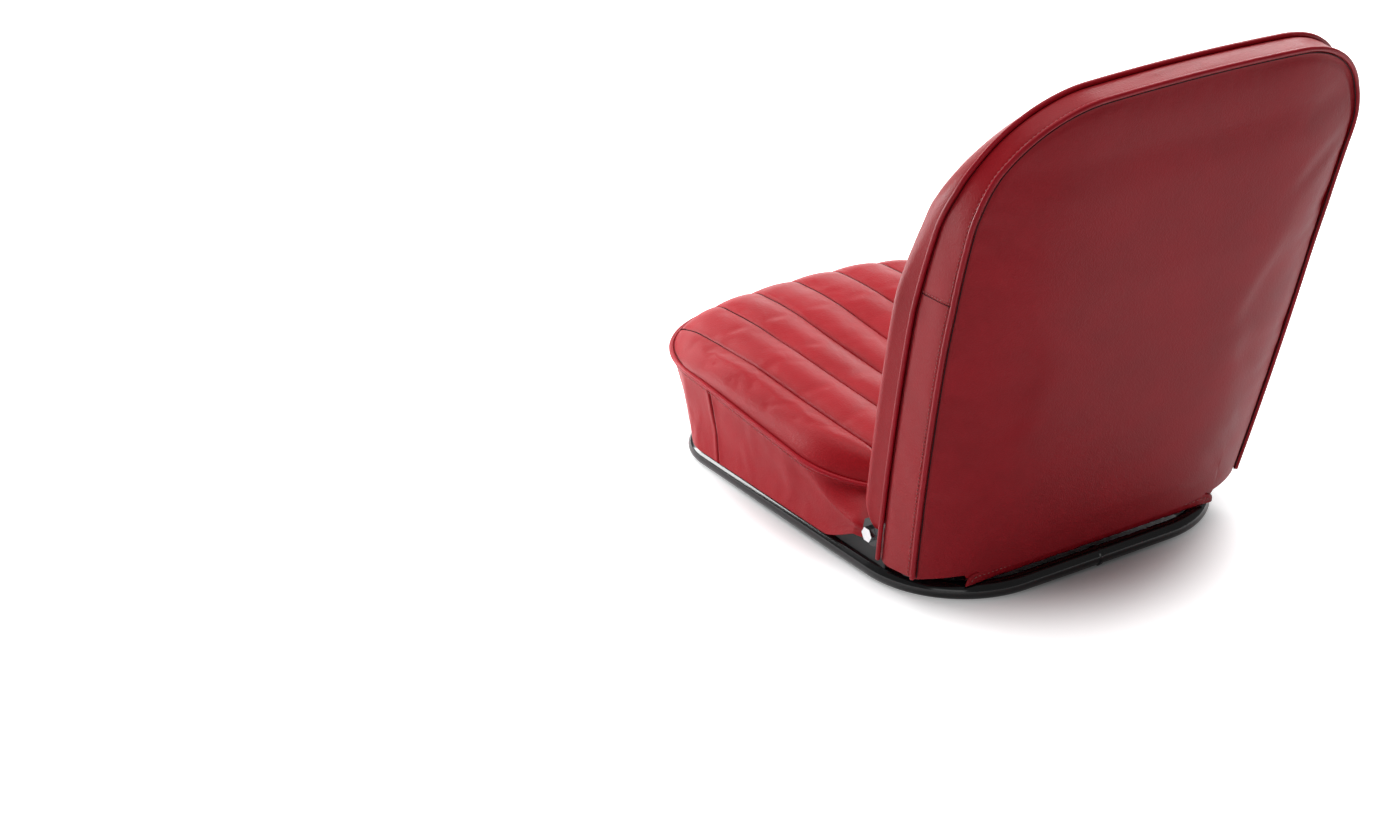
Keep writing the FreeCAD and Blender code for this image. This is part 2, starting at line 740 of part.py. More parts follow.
def hinge_lug(side, grow=0.0):
    """The flat lug welded on a leg, with the eye that turns on the pivot bolt."""
    ear = size("ear_radius") + grow
    depth = size("hoop_depth")
    low, high = size("lug_foot_low"), size("lug_foot_high")
    profile = [(-ear, 0), (-ear, ear * 0.6), (depth - TUBE_R - grow, high + grow),
               (depth + grow, high + grow), (depth + grow, low - grow), (ear * 0.6, -ear * 0.8), (0, -ear)]
    x = LUG_IN - grow
    wire = Part.makePolygon([Vector(x, *spot) for spot in profile + profile[:1]])
    run = Vector(size("lug_thickness") + 2 * grow, 0, 0)
    plate = Part.Face(wire).extrude(run)
    eye = Part.makeCylinder(ear, run.x, Vector(x, 0, 0), Vector(1, 0, 0))
    lug = plate.fuse(eye).removeSplitter()
    if not grow:
        bore = size("bolt_diameter") / 2 + size("bolt_hole_clearance")
        lug = lug.cut(Part.makeCylinder(bore, 3 * run.x, Vector(x - run.x, 0, 0), Vector(1, 0, 0)))
        lug = lug.cut(hoop(TUBE_R + size("weld_clearance")))
    if SIDES[side] < 0:
        lug = lug.mirror(Vector(0, 0, 0), Vector(1, 0, 0))
    return lug


def leg_plug(side):
    """The rubber plug that closes a leg's end: a cap as wide as the tube and a stem inside it."""
    sign = SIDES[side]
    path = back_outline(size("hoop_depth"), hoop_inset(), closed=False)
    foot, half = size("hoop_foot"), size("plug_length") / 2
    cap = back_tube(path, TUBE_R).common(slab(foot - half, foot))
    bore = TUBE_R - size("tube_wall") - size("plug_clearance")
    stem = back_tube(path, bore).common(slab(foot, foot + half))
    plug = cap.fuse(stem).removeSplitter()
    return next(solid for solid in plug.Solids if solid.CenterOfMass.x * sign > 0)


def webbing():
    """Four rubber straps across the hoop that carry the foam."""
    straps = []
    depth = size("hoop_depth") + TUBE_R
    for i in range(4):
        low = size("webbing_lowest") + i * size("webbing_pitch")
        half = back_points(hoop_inset())["shoulder"][0] - TUBE_R / 2
        if i < 2:
            half = back_points(hoop_inset())["flank"][0] - TUBE_R / 2
        straps.append(Part.makeBox(2 * half, size("webbing_thickness"), size("webbing_width"),
                                   Vector(-half, depth, low)))
    return Part.makeCompound(straps)


def arch(low_depth, high_depth, grow=0.0):
    """The space between the legs under the hem, with rounded upper corners."""
    half = size("arch_half_width") + grow
    top = size("hem_height") + grow
    foot = size("back_foot") - 10
    box = Part.makeBox(2 * half, high_depth - low_depth, top - foot, Vector(-half, low_depth, foot))
    upper = [edge for edge in box.Edges
             if abs(edge.CenterOfMass.z - top) < 0.1 and abs(abs(edge.CenterOfMass.x) - half) < 0.1]
    return box.makeFillet(size("arch_corner_radius"), upper)


def cushion_envelope():
    """The space that the piped cushion fills at the foot of the backrest, with the folding gap round it."""
    gap = size("fold_gap")
    grow = size("piping_diameter") / 2 + gap
    plan = plan_outline(size("cushion_half_width") + grow, size("cushion_front"),
                        size("cushion_rear") + grow, size("cushion_front_corner"),
                        size("cushion_rear_corner") + grow)
    soft = size("top_crown")
    top = size("seam_height") + soft + gap
    block = Part.Face(plan).extrude(Vector(0, 0, top))
    rear = size("cushion_rear") + grow
    slope = math.tan(math.radians(size("seam_slope_angle"))) * rear
    low = top - 0.86 * soft - slope
    shave = Part.Face(Part.makePolygon([
        Vector(0, rear - 0.9 * soft, top + 1), Vector(0, rear + 1, top + 1), Vector(0, rear + 1, low),
        Vector(0, rear - 0.3 * soft, top - 0.28 * soft), Vector(0, rear - 0.9 * soft, top + 1)]))
    span = 2 * size("base_width")
    shave.translate(Vector(-span / 2, 0, 0))
    return block.cut(shave.extrude(Vector(span, 0, 0)))


def swept_cushion():
    """The cushion's envelope as the folding backrest meets it, in the backrest's frame."""
    envelope = cushion_envelope()
    steps = 6
    tools = []
    for i in range(steps + 1):
        turn = Placement(Vector(0, 0, 0), Rotation(Vector(1, 0, 0), size("fold_angle") * i / steps))
        tool = envelope.copy()
        tool.Placement = Placement(PIVOT, Rotation()).multiply(turn).multiply(
            Placement(Vector(0, 0, 0), Rotation(Vector(1, 0, 0), -size("lean_angle")))).inverse()
        tools.append(tool)
    return tools


def base_space():
    """The space over the base tube and round the pivot ear, kept free, in the backrest's frame."""
    span = 2 * size("base_width")
    high = size("tube_diameter") + size("floor_gap")
    floor = Part.makeBox(span, span, high, Vector(-span / 2, -span / 2, 0))
    floor.Placement = BACK.inverse().multiply(floor.Placement)
    tools = [floor]
    reach = size("ear_radius") + size("fold_gap")
    width = HEAD_IN + size("bolt_head_height") - NUT_IN + 4 * size("fold_gap")
    for sign in SIDES.values():
        start = min(sign * (NUT_IN - 3 * size("fold_gap")), sign * (NUT_IN - 3 * size("fold_gap") + width))
        tools.append(Part.makeCylinder(reach, width, Vector(start, 0, 0), Vector(1, 0, 0)))
    return tools


def front_panel():
    """The padded facing: round side rolls and a centre of sewn channels."""
    seam, roll = size("front_seam_depth"), size("front_roll")
    steps = [(1.0, 0.0), (1.0, 0.3), (0.975, 0.65), (0.925, 0.92), (0.85, 1.0)]
    start = seam - size("soft_gap")
    sections = [back_outline(start - forward * roll, 0.5, scale) for scale, forward in steps]
    panel = Part.makeLoft(sections, True, False)
    foot = size("back_foot")
    face = seam - size("soft_gap") - roll
    top = size("back_flute_top")
    for i in range(-size_count("back_flutes_each_side"), size_count("back_flutes_each_side") + 1):
        x = i * size("flute_pitch")
        panel = panel.cut(channel_seam(Vector(x, face, foot), Vector(x, face, top), Vector(0, -1, 0)))
    return panel.common(slab(size("roll_foot"), 2 * size("shoulder_height")))


def rear_panel():
    """The plain rear panel, crowned from its piped edge."""
    seam, crown = size("rear_seam_depth"), size("rear_crown")
    gap = size("soft_gap")
    steps = [(1.0, 0.0), (0.95, 0.38), (0.75, 0.84), (0.35, 1.0)]
    sections = [back_outline(seam + gap + rise * crown, 0.5, scale) for scale, rise in steps]
    return Part.makeLoft(sections, True, False)


def side_band():
    """The band between the two pipings, open between the feet."""
    front, rear = size("front_seam_depth"), size("rear_seam_depth")
    inside = back_prism(front - 1, rear + 1, size("cover_thickness"))
    foot = size("back_foot")
    low = back_points(size("cover_thickness"))["foot"][0]
    opening = Part.makeBox(2 * low, rear - front + 2, 20, Vector(-low, front - 1, foot - 10))
    return back_prism(front, rear, 0).cut(inside).cut(opening)


def hem():
    """The hem flap of the rear panel, a turned strip that follows the arch."""
    rear = size("hem_depth")
    front = rear - size("hem_thickness")
    strip = arch(front, rear, -size("soft_gap")).cut(arch(front - 1, rear + 1, -size("hem_drop")))
    return strip.common(slab(size("back_foot"), size("hem_height")))


def hem_clip(sign):
    """A spring clip pinching the hem, hooked over its lower edge."""
    x = sign * size("clip_spacing") / 2
    thick, gauge, gap = size("hem_thickness"), size("clip_gauge"), size("soft_gap")
    width = size("clip_width")
    top = size("hem_height") - gap
    low = size("hem_height") - size("hem_drop")
    rear = size("hem_depth") + gap + gauge
    block = Part.makeBox(width, thick + 2 * gap + 2 * gauge, top - low + gauge + gap,
                         Vector(x - width / 2, rear - thick - 2 * gap - 2 * gauge, low - gauge - gap))
    inside = Part.makeBox(width + 2, thick + 2 * gap, top - low + gap + 1,
                          Vector(x - width / 2 - 1, rear - thick - 2 * gap - gauge, low - gap))
    return block.cut(inside)


def box_round(shape, gap):
    """The box round a shape, with a gap on every side."""
    b = shape.BoundBox
    return Part.makeBox(b.XLength + 2 * gap, b.YLength + 2 * gap, b.ZLength + 2 * gap,
                        Vector(b.XMin - gap, b.YMin - gap, b.ZMin - gap))


def plug_space(sign):
    """The square well under one leg of the hoop, round its rubber plug."""
    side, deep = 3 * TUBE_R, 30
    middle = sign * (LUG_IN - TUBE_R)
    return Part.makeBox(side, side, deep,
                        Vector(middle - side / 2, size("hoop_depth") - side / 2, size("hoop_foot") - deep))


def backrest():
    """Every piece that folds, built in the backrest's frame."""
    hoop_shape = hoop(TUBE_R, TUBE_R - size("tube_wall"))
    hoop_space = hoop(TUBE_R + size("soft_gap"))
    cross_r = size("cross_tube_diameter") / 2
    cross_shape = cross_tube(cross_r, cross_r - size("cross_tube_wall"))
    cross_shape = cross_shape.cut(hoop(TUBE_R + size("weld_clearance")))
    cross_space = cross_tube(cross_r + size("soft_gap"))
    lugs = {side: hinge_lug(side) for side in SIDES}
    lug_spaces = [hinge_lug(side, size("soft_gap")) for side in SIDES]
    plugs = {side: leg_plug(side) for side in SIDES}
    straps = webbing()
    cushion_spaces = swept_cushion()
    base_spaces = base_space()

    feature("backrest_hoop", hoop_shape, BACK)
    feature("backrest_cross_tube", cross_shape, BACK)
    for side in SIDES:
        feature(f"{side}_hinge_lug", lugs[side], BACK)
        feature(f"{side}_leg_plug", plugs[side], BACK)
    feature("backrest_webbing", straps, BACK)

    front, rear = size("front_seam_depth"), size("rear_seam_depth")
    gap = size("soft_gap")
    pipings = {depth: back_tube(back_outline(depth, closed=False), size("piping_diameter") / 2)
               for depth in (front, rear)}
    inner_arch = arch(-200, 300)

    foam = back_prism(front + gap, rear - gap, size("piping_diameter") / 2 + gap)
    strap_spaces = [box_round(strap, gap) for strap in straps.Solids]
    plug_spaces = [plug_space(sign) for sign in SIDES.values()]
    foam = foam.cut([hoop_space, cross_space, inner_arch] + lug_spaces + strap_spaces + plug_spaces
                    + cushion_spaces + base_spaces)
    feature("backrest_foam", foam, BACK)

    facing = front_panel().cut([pipings[front]] + lug_spaces + base_spaces)
    for space in cushion_spaces:
        facing = facing.cut(space)
    feature("backrest_front_panel", facing, BACK)

    hem_shape = hem()
    clips = {sign: hem_clip(sign) for sign in SIDES.values()}
    panel = rear_panel().cut([pipings[rear], cross_space, inner_arch, hoop_space] + base_spaces)
    feature("backrest_rear_panel", panel, BACK)

    band = side_band().cut(list(pipings.values()) + base_spaces + lug_spaces)
    feature("backrest_side_band", band, BACK)
    feature("backrest_front_piping", pipings[front].cut(base_spaces), BACK)
    feature("backrest_rear_piping", pipings[rear].cut(base_spaces), BACK)
    feature("backrest_hem", hem_shape.cut(base_spaces), BACK)
    for side, sign in SIDES.items():
        feature(f"{side}_hem_clip", clips[sign], BACK)


base_tube()
base_tube_weld()
for side in SIDES:
    runner(side)
    pivot_bracket(side)
    pivot_hardware(side)
cushion_board()
cushion_foam()
cushion_skins()
backrest()
doc.recompute()

# Checks, then one file for each sub-part

for item in doc.Objects:
    if "Invalid" in item.State or "Error" in item.State:
        raise RuntimeError(f"{item.Label} is {item.State}")
labels = [piece.Label for piece in parts]
if len(set(labels)) != len(labels):
    raise RuntimeError("two sub-parts share a label")
faulty = [piece.Label for piece in parts
          if piece.Shape.isNull() or not piece.Shape.isValid() or not piece.Shape.Solids]
if faulty:
    raise RuntimeError(f"no valid solid in {', '.join(faulty)}")

os.makedirs("parts", exist_ok=True)
for piece in parts:
    piece.Shape.exportStep(f"parts/{piece.Label}.step")
    box = piece.Shape.BoundBox
    print(f"{piece.Label}: {len(piece.Shape.Solids)} solid, {piece.Shape.Volume / 1000:.1f} cm3, "
          f"x {box.XMin:.1f} to {box.XMax:.1f}, y {box.YMin:.1f} to {box.YMax:.1f}, "
          f"z {box.ZMin:.1f} to {box.ZMax:.1f}")
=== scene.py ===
import math

import bpy
import numpy as np
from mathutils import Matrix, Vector


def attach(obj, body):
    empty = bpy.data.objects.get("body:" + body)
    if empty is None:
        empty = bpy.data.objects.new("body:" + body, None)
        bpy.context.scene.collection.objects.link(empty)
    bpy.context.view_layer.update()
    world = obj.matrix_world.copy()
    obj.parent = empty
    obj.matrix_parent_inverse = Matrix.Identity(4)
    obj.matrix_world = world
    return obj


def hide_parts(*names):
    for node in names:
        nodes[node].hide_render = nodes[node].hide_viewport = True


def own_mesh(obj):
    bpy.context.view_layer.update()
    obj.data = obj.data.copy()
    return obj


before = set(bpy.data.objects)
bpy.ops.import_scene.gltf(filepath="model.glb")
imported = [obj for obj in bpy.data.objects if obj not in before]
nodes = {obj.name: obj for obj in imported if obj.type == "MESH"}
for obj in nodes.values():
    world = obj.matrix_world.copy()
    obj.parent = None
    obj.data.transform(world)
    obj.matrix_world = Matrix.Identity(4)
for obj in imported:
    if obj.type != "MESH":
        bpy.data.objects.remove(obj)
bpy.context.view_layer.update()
scene = bpy.context.scene

MM = 0.001
PIVOT_Y, PIVOT_Z = 134.0, 54.0

# Backrest cover, millimetres, in the backrest's own frame: x across, depth rearward, s up from the pivot
LEAN = math.radians(12.36)
FRAME_LEAN = math.radians(14.3)
HALF_WIDTH, SHOULDER = 237.6, 415.5
CORNER_R, TOP_R, SIDE_R = 124.0, 2235.0, 3911.0
FOOT, ROLL_FOOT = -18.0, 18.0
FRONT_SEAM, REAR_SEAM = 34.0, 72.0
BAND = REAR_SEAM - FRONT_SEAM
FRONT_ROLL, REAR_CROWN = 43.0, 31.0
BOW_START, BOW = 250.0, 3.31e-4
PIPING_R, PIPING_OUT = 2.6, 2.1
HEM_CLEAR, ARCH_CLEAR = 20.4, 29.5
ARCH_HALF, ARCH_TOP, ARCH_BEND = 165.0, 1.0, 12.0
# How far the two seams lie rearward of a straight side, at places up the backrest
TAPER_AHEAD = ((-18.0, 300.0, 400.0, 440.0, 475.0), (-15.0, -11.0, -5.0, 2.0, 4.5))
TAPER_BEHIND = ((-18.0, 330.0, 440.0, 475.0), (3.5, 3.0, -1.0, -4.5))

# Cushion cover, millimetres: half width, front, rear, front and rear corner radii
SEAM_PLAN = (217.0, 319.0, 135.0, 122.0, 126.0)
FOOT_PLAN = (215.0, 250.0, 135.0, 50.0, 30.0)
FRONT_BOW = 560.0
WELT_FOOT, WELT_SEAM = -137.0, -155.0
SEAM_Z, SEAM_SLOPE = 91.2, math.radians(5.3)
FOOT_Z = 19.6
# Height of the top's side flutes, and how much lower its middle lies, at places from the front to the rear
CROWN = ((-330, -250, -208, -130, -54, 17, 62, 135),
         (127.5, 131.0, 133.0, 132.0, 127.5, 124.0, 122.5, 121.5))
DISH = ((-250, -130, -60, 135), (0.5, 7.5, 8.0, 3.0))
PITCH = 56.0


# Meshes

def new_mesh(name, points, faces, material, smooth=True):
    """A mesh object from points in millimetres."""
    data = bpy.data.meshes.new(name)
    data.from_pydata((np.asarray(points, float) * MM).tolist(), [], [tuple(map(int, f)) for f in faces])
    data.update()
    thing = bpy.data.objects.new(name, data)
    scene.collection.objects.link(thing)
    data.materials.append(material)
    data.polygons.foreach_set("use_smooth", [smooth] * len(data.polygons))
    return thing


def grid_faces(rows, cols, wrap_rows=False, wrap_cols=False):
    """Quads of a rows by cols grid of points numbered row by row."""
    faces = []
    for i in range(rows if wrap_rows else rows - 1):
        for j in range(cols if wrap_cols else cols - 1):
            a, b = i * cols + j, i * cols + (j + 1) % cols
            c, d = ((i + 1) % rows) * cols + (j + 1) % cols, ((i + 1) % rows) * cols + j
            faces.append((a, b, c, d))
    return faces


def sheet_mesh(name, grid, material, wrap_rows=False, wrap_cols=False, flip=False):
    """A surface through a grid of points of shape rows, cols, 3."""
    rows, cols = grid.shape[:2]
    faces = grid_faces(rows, cols, wrap_rows, wrap_cols)
    if flip:
        faces = [f[::-1] for f in faces]
    return new_mesh(name, grid.reshape(-1, 3), faces, material)


def refine(thing):
    """One subdivision, applied."""
    bpy.context.view_layer.update()
    modifier = thing.modifiers.new("smooth", "SUBSURF")
    modifier.levels = modifier.render_levels = 1
    graph = bpy.context.evaluated_depsgraph_get()
    data = bpy.data.meshes.new_from_object(thing.evaluated_get(graph))
    thing.modifiers.clear()
    old = thing.data
    thing.data = data
    bpy.data.meshes.remove(old)
    data.name = thing.name
    return thing


def unit(v):
    return v / np.maximum(np.linalg.norm(v, axis=-1, keepdims=True), 1e-9)


def smooth_step(t):
    t = np.clip(t, 0, 1)
    return t * t * (3 - 2 * t)


def arc(cx, cy, radius, start, end, n):
    a = np.radians(np.linspace(start, end, n))
    return np.c_[cx + radius * np.cos(a), cy + radius * np.sin(a)]


def along(points, n, closed=False):
    """n points evenly spaced along a polyline."""
    line = np.vstack([points, points[:1]]) if closed else points
    step = np.linalg.norm(np.diff(line, axis=0), axis=1)
    total = np.concatenate([[0], np.cumsum(step)])
    where = np.linspace(0, total[-1], n, endpoint=not closed)
    return np.stack([np.interp(where, total, line[:, k]) for k in range(line.shape[1])], 1)


def tube(name, path, radius, material, sides=12, closed=False):
    """A round cord along points, with domed ends when it is open."""
    path = np.asarray(path, float)
    n = len(path)
    if closed:
        tangent = unit(np.roll(path, -1, 0) - np.roll(path, 1, 0))
    else:
        tangent = unit(np.gradient(path, axis=0))
    side = np.cross(tangent[0], (0.0, 0.0, 1.0))
    if np.linalg.norm(side) < 0.1:
        side = np.cross(tangent[0], (0.0, 1.0, 0.0))
    sides_at = []
    side = side / np.linalg.norm(side)
    for t in tangent:
        side = side - t * np.dot(side, t)
        side = side / np.linalg.norm(side)
        sides_at.append(side)
    first = np.array(sides_at)
    second = np.cross(tangent, first)
    angle = np.linspace(0, 2 * np.pi, sides, endpoint=False)
    cosine, sine = np.cos(angle)[None, :, None], np.sin(angle)[None, :, None]
    grid = path[:, None] + (first[:, None] * cosine + second[:, None] * sine) * radius
    faces = grid_faces(n, sides, closed, True)
    points = grid.reshape(-1, 3)
    if not closed:
        tips = path[:1] - tangent[:1] * radius * 0.5, path[-1:] + tangent[-1:] * radius * 0.5
        points = np.vstack([points, *tips])
        low, high = len(points) - 2, len(points) - 1
        last = (n - 1) * sides
        for j in range(sides):
            k = (j + 1) % sides
            faces.append((low, k, j))
            faces.append((last + j, last + k, high))
    return new_mesh(name, points, [f[::-1] for f in faces], material)


def stitches(name, runs, material, pitch=5.0, length=3.1, radius=0.42):
    """Rows of separate thread stitches, each a small domed bead; a run is a path and its normals."""
    points, faces = [], []
    for path, normal in runs:
        path, normal = np.asarray(path, float), unit(np.asarray(normal, float))
        sew(points, faces, path, normal, pitch, length, radius)
    return new_mesh(name, points, faces, material)


def sew(points, faces, path, normal, pitch, length, radius):
    """Adds the stitches of one run to a mesh's points and faces."""
    step = np.linalg.norm(np.diff(path, axis=0), axis=1)
    total = np.concatenate([[0], np.cumsum(step)])
    count = int(total[-1] / pitch)
    sides, rings = 6, 5
    across = np.linspace(-1, 1, rings)
    for k in range(count):
        middle = (k + 0.5) * pitch
        spots = middle + across * length / 2
        at = np.stack([np.interp(spots, total, path[:, i]) for i in range(3)], 1)
        up = unit(np.stack([np.interp(spots, total, normal[:, i]) for i in range(3)], 1))
        way = unit(np.gradient(at, axis=0))
        side = np.cross(way, up)
        girth = radius * np.sqrt(np.maximum(1 - (across * 0.97) ** 4, 0.02))
        lift = radius * (0.35 - 0.9 * across ** 4)
        base = len(points)
        for r in range(rings):
            for j in range(sides):
                a = 2 * np.pi * j / sides
                raised = up[r] * (lift[r] + girth[r] * np.sin(a))
                points.append(at[r] + raised + side[r] * girth[r] * np.cos(a))
        for r in range(rings - 1):
            for j in range(sides):
                m = (j + 1) % sides
                faces.append((base + r * sides + j, base + r * sides + m,
                              base + (r + 1) * sides + m, base + (r + 1) * sides + j))
        faces.append(tuple(base + j for j in reversed(range(sides))))
        faces.append(tuple(base + (rings - 1) * sides + j for j in range(sides)))


# Cloth

def cloth_rest(grid, pinned, pressure, slack, cap, wrap_cols=False):
    """How far a pinned sheet moves when blown up a little: a vector for each point, in mm."""
    rows, cols = grid.shape[:2]
    stiffness, frames = 18.0, 20
    thing = sheet_mesh("cloth_rest", grid, bpy.data.materials.new("cloth_rest"), wrap_cols=wrap_cols)
    group = thing.vertex_groups.new(name="sewn")
    for i in np.flatnonzero(pinned.reshape(-1)):
        group.add([int(i)], 1.0, "REPLACE")
    modifier = thing.modifiers.new("cloth", "CLOTH")
    cloth = modifier.settings
    cloth.quality = 6
    cloth.mass = 0.25
    cloth.tension_stiffness = stiffness
    cloth.compression_stiffness = stiffness
    cloth.shear_stiffness = stiffness / 3
    cloth.bending_stiffness = 0.6
    cloth.use_pressure = True
    cloth.uniform_pressure_force = pressure
    cloth.effector_weights.gravity = 0
    cloth.vertex_group_mass = "sewn"
    cloth.shrink_min = -slack
    modifier.collision_settings.use_collision = False
    modifier.point_cache.frame_start = 1
    modifier.point_cache.frame_end = frames
    for f in range(1, frames + 1):
        scene.frame_set(f)
    graph = bpy.context.evaluated_depsgraph_get()
    data = thing.evaluated_get(graph).to_mesh()
    moved = np.zeros(len(data.vertices) * 3)
    data.vertices.foreach_get("co", moved)
    shift = moved.reshape(rows, cols, 3) / MM - grid
    scene.frame_set(1)
    old = thing.data
    bpy.data.objects.remove(thing)
    bpy.data.meshes.remove(old)
    far = np.linalg.norm(shift, axis=-1, keepdims=True)
    return shift * np.tanh(far / cap) * cap / np.maximum(far, 1e-6)


def read_field(field, rows_at, cols_at):
    """A grid of vectors read between its points; the places run from 0 to 1."""
    rows, cols = field.shape[:2]
    r = np.clip(rows_at, 0, 1) * (rows - 1)
    c = np.clip(cols_at, 0, 1) * (cols - 1)
    r0, c0 = np.minimum(r.astype(int), rows - 2), np.minimum(c.astype(int), cols - 2)
    fr, fc = (r - r0)[..., None], (c - c0)[..., None]
    return (field[r0, c0] * (1 - fr) * (1 - fc) + field[r0 + 1, c0] * fr * (1 - fc)
            + field[r0, c0 + 1] * (1 - fr) * fc + field[r0 + 1, c0 + 1] * fr * fc)


def soft_noise(u, v, seed, waves=14, low=0.6, high=2.6):
    """Smooth repeatable unevenness between about -1 and 1."""
    draw = np.random.default_rng(seed)
    total = np.zeros_like(u, dtype=float)
    for _ in range(waves):
        f = draw.uniform(low, high)
        a, p = draw.uniform(0, 2 * np.pi, 2)
        total += np.sin(2 * np.pi * f * (u * np.cos(a) + v * np.sin(a)) + p)
    return total / math.sqrt(waves) / 1.4


# Materials

def shader(name):
    """A new material with its node tree and its main shader."""
    material = bpy.data.materials.new(name)
    material.use_nodes = True
    tree = material.node_tree
    main = tree.nodes["Principled BSDF"]
    return material, tree, main


def node(tree, kind, **values):
    made = tree.nodes.new(kind)
    for key, value in values.items():
        if key in made.inputs:
            made.inputs[key].default_value = value
        else:
            setattr(made, key, value)
    return made


def ramp(tree, source, low, high, low_colour, high_colour):
    made = tree.nodes.new("ShaderNodeValToRGB")
    made.color_ramp.elements[0].position = low
    made.color_ramp.elements[0].color = low_colour
    made.color_ramp.elements[1].position = high
    made.color_ramp.elements[1].color = high_colour
    tree.links.new(source, made.inputs["Fac"])
    return made


def spread(tree, source, low, high):
    """Maps 0 to 1 onto a range."""
    made = tree.nodes.new("ShaderNodeMapRange")
    made.inputs["To Min"].default_value = low
    made.inputs["To Max"].default_value = high
    tree.links.new(source, made.inputs["Value"])
    return made.outputs["Result"]


def vinyl(name, colour, dark, rough=(0.36, 0.5), grain=0.35):
    """Grained upholstery vinyl: pebbled cells, fine pores, slow changes of tone."""
    material, tree, main = shader(name)
    place = node(tree, "ShaderNodeTexCoord").outputs["Object"]
    cells = node(tree, "ShaderNodeTexVoronoi", Scale=620.0, Randomness=1.0)
    cells.feature = "SMOOTH_F1"
    cells.inputs["Smoothness"].default_value = 0.6
    fine = node(tree, "ShaderNodeTexNoise", Scale=1500.0, Detail=2.0, Roughness=0.6)
    broad = node(tree, "ShaderNodeTexNoise", Scale=14.0, Detail=4.0, Roughness=0.55)
    warp = node(tree, "ShaderNodeTexNoise", Scale=160.0, Detail=2.0)
    for texture in (cells, fine, broad, warp):
        tree.links.new(place, texture.inputs["Vector"])
    tone = ramp(tree, broad.outputs["Fac"], 0.32, 0.68, dark, colour)
    pores = node(tree, "ShaderNodeMix", data_type="RGBA", blend_type="MULTIPLY")
    pores.inputs["Factor"].default_value = 0.16
    tree.links.new(tone.outputs["Color"], pores.inputs[6])
    tree.links.new(cells.outputs["Distance"], pores.inputs[7])
    tree.links.new(pores.outputs[2], main.inputs["Base Color"])
    tree.links.new(spread(tree, broad.outputs["Fac"], *rough), main.inputs["Roughness"])
    main.inputs["Specular IOR Level"].default_value = 0.16
    coarse = node(tree, "ShaderNodeBump", Strength=grain, Distance=0.0005)
    tree.links.new(cells.outputs["Distance"], coarse.inputs["Height"])
    slow = node(tree, "ShaderNodeBump", Strength=0.18, Distance=0.0006)
    tree.links.new(warp.outputs["Fac"], slow.inputs["Height"])
    tree.links.new(coarse.outputs["Normal"], slow.inputs["Normal"])
    small = node(tree, "ShaderNodeBump", Strength=0.10, Distance=0.0002)
    tree.links.new(fine.outputs["Fac"], small.inputs["Height"])
    tree.links.new(slow.outputs["Normal"], small.inputs["Normal"])
    tree.links.new(small.outputs["Normal"], main.inputs["Normal"])
    return material


def metal(name, colour, metallic, rough, noise_scale, bump):
    """Painted or plated metal with a little unevenness in its gloss."""
    material, tree, main = shader(name)
    place = node(tree, "ShaderNodeTexCoord").outputs["Object"]
    uneven = node(tree, "ShaderNodeTexNoise", Scale=noise_scale, Detail=4.0, Roughness=0.6)
    broad = node(tree, "ShaderNodeTexNoise", Scale=18.0, Detail=5.0, Roughness=0.65)
    for texture in (uneven, broad):
        tree.links.new(place, texture.inputs["Vector"])
    darker = tuple(c * 0.72 for c in colour[:3]) + (1.0,)
    tone = ramp(tree, broad.outputs["Fac"], 0.3, 0.7, darker, colour)
    tree.links.new(tone.outputs["Color"], main.inputs["Base Color"])
    tree.links.new(spread(tree, broad.outputs["Fac"], *rough), main.inputs["Roughness"])
    main.inputs["Metallic"].default_value = metallic
    rise = node(tree, "ShaderNodeBump", Strength=bump, Distance=0.0003)
    tree.links.new(uneven.outputs["Fac"], rise.inputs["Height"])
    tree.links.new(rise.outputs["Normal"], main.inputs["Normal"])
    return material


def plywood():
    """Birch plywood: long wavy grain and small pores."""
    material, tree, main = shader("plywood")
    place = node(tree, "ShaderNodeTexCoord").outputs["Object"]
    stretch = node(tree, "ShaderNodeMapping")
    stretch.inputs["Scale"].default_value = (26.0, 2.2, 90.0)
    tree.links.new(place, stretch.inputs["Vector"])
    grain = node(tree, "ShaderNodeTexNoise", Scale=1.6, Detail=8.0, Roughness=0.62, Distortion=1.4)
    tree.links.new(stretch.outputs["Vector"], grain.inputs["Vector"])
    tone = ramp(tree, grain.outputs["Fac"], 0.3, 0.72, (0.30, 0.17, 0.075, 1), (0.60, 0.42, 0.23, 1))
    tree.links.new(tone.outputs["Color"], main.inputs["Base Color"])
    tree.links.new(spread(tree, grain.outputs["Fac"], 0.55, 0.75), main.inputs["Roughness"])
    rise = node(tree, "ShaderNodeBump", Strength=0.3, Distance=0.0004)
    tree.links.new(grain.outputs["Fac"], rise.inputs["Height"])
    tree.links.new(rise.outputs["Normal"], main.inputs["Normal"])
    return material


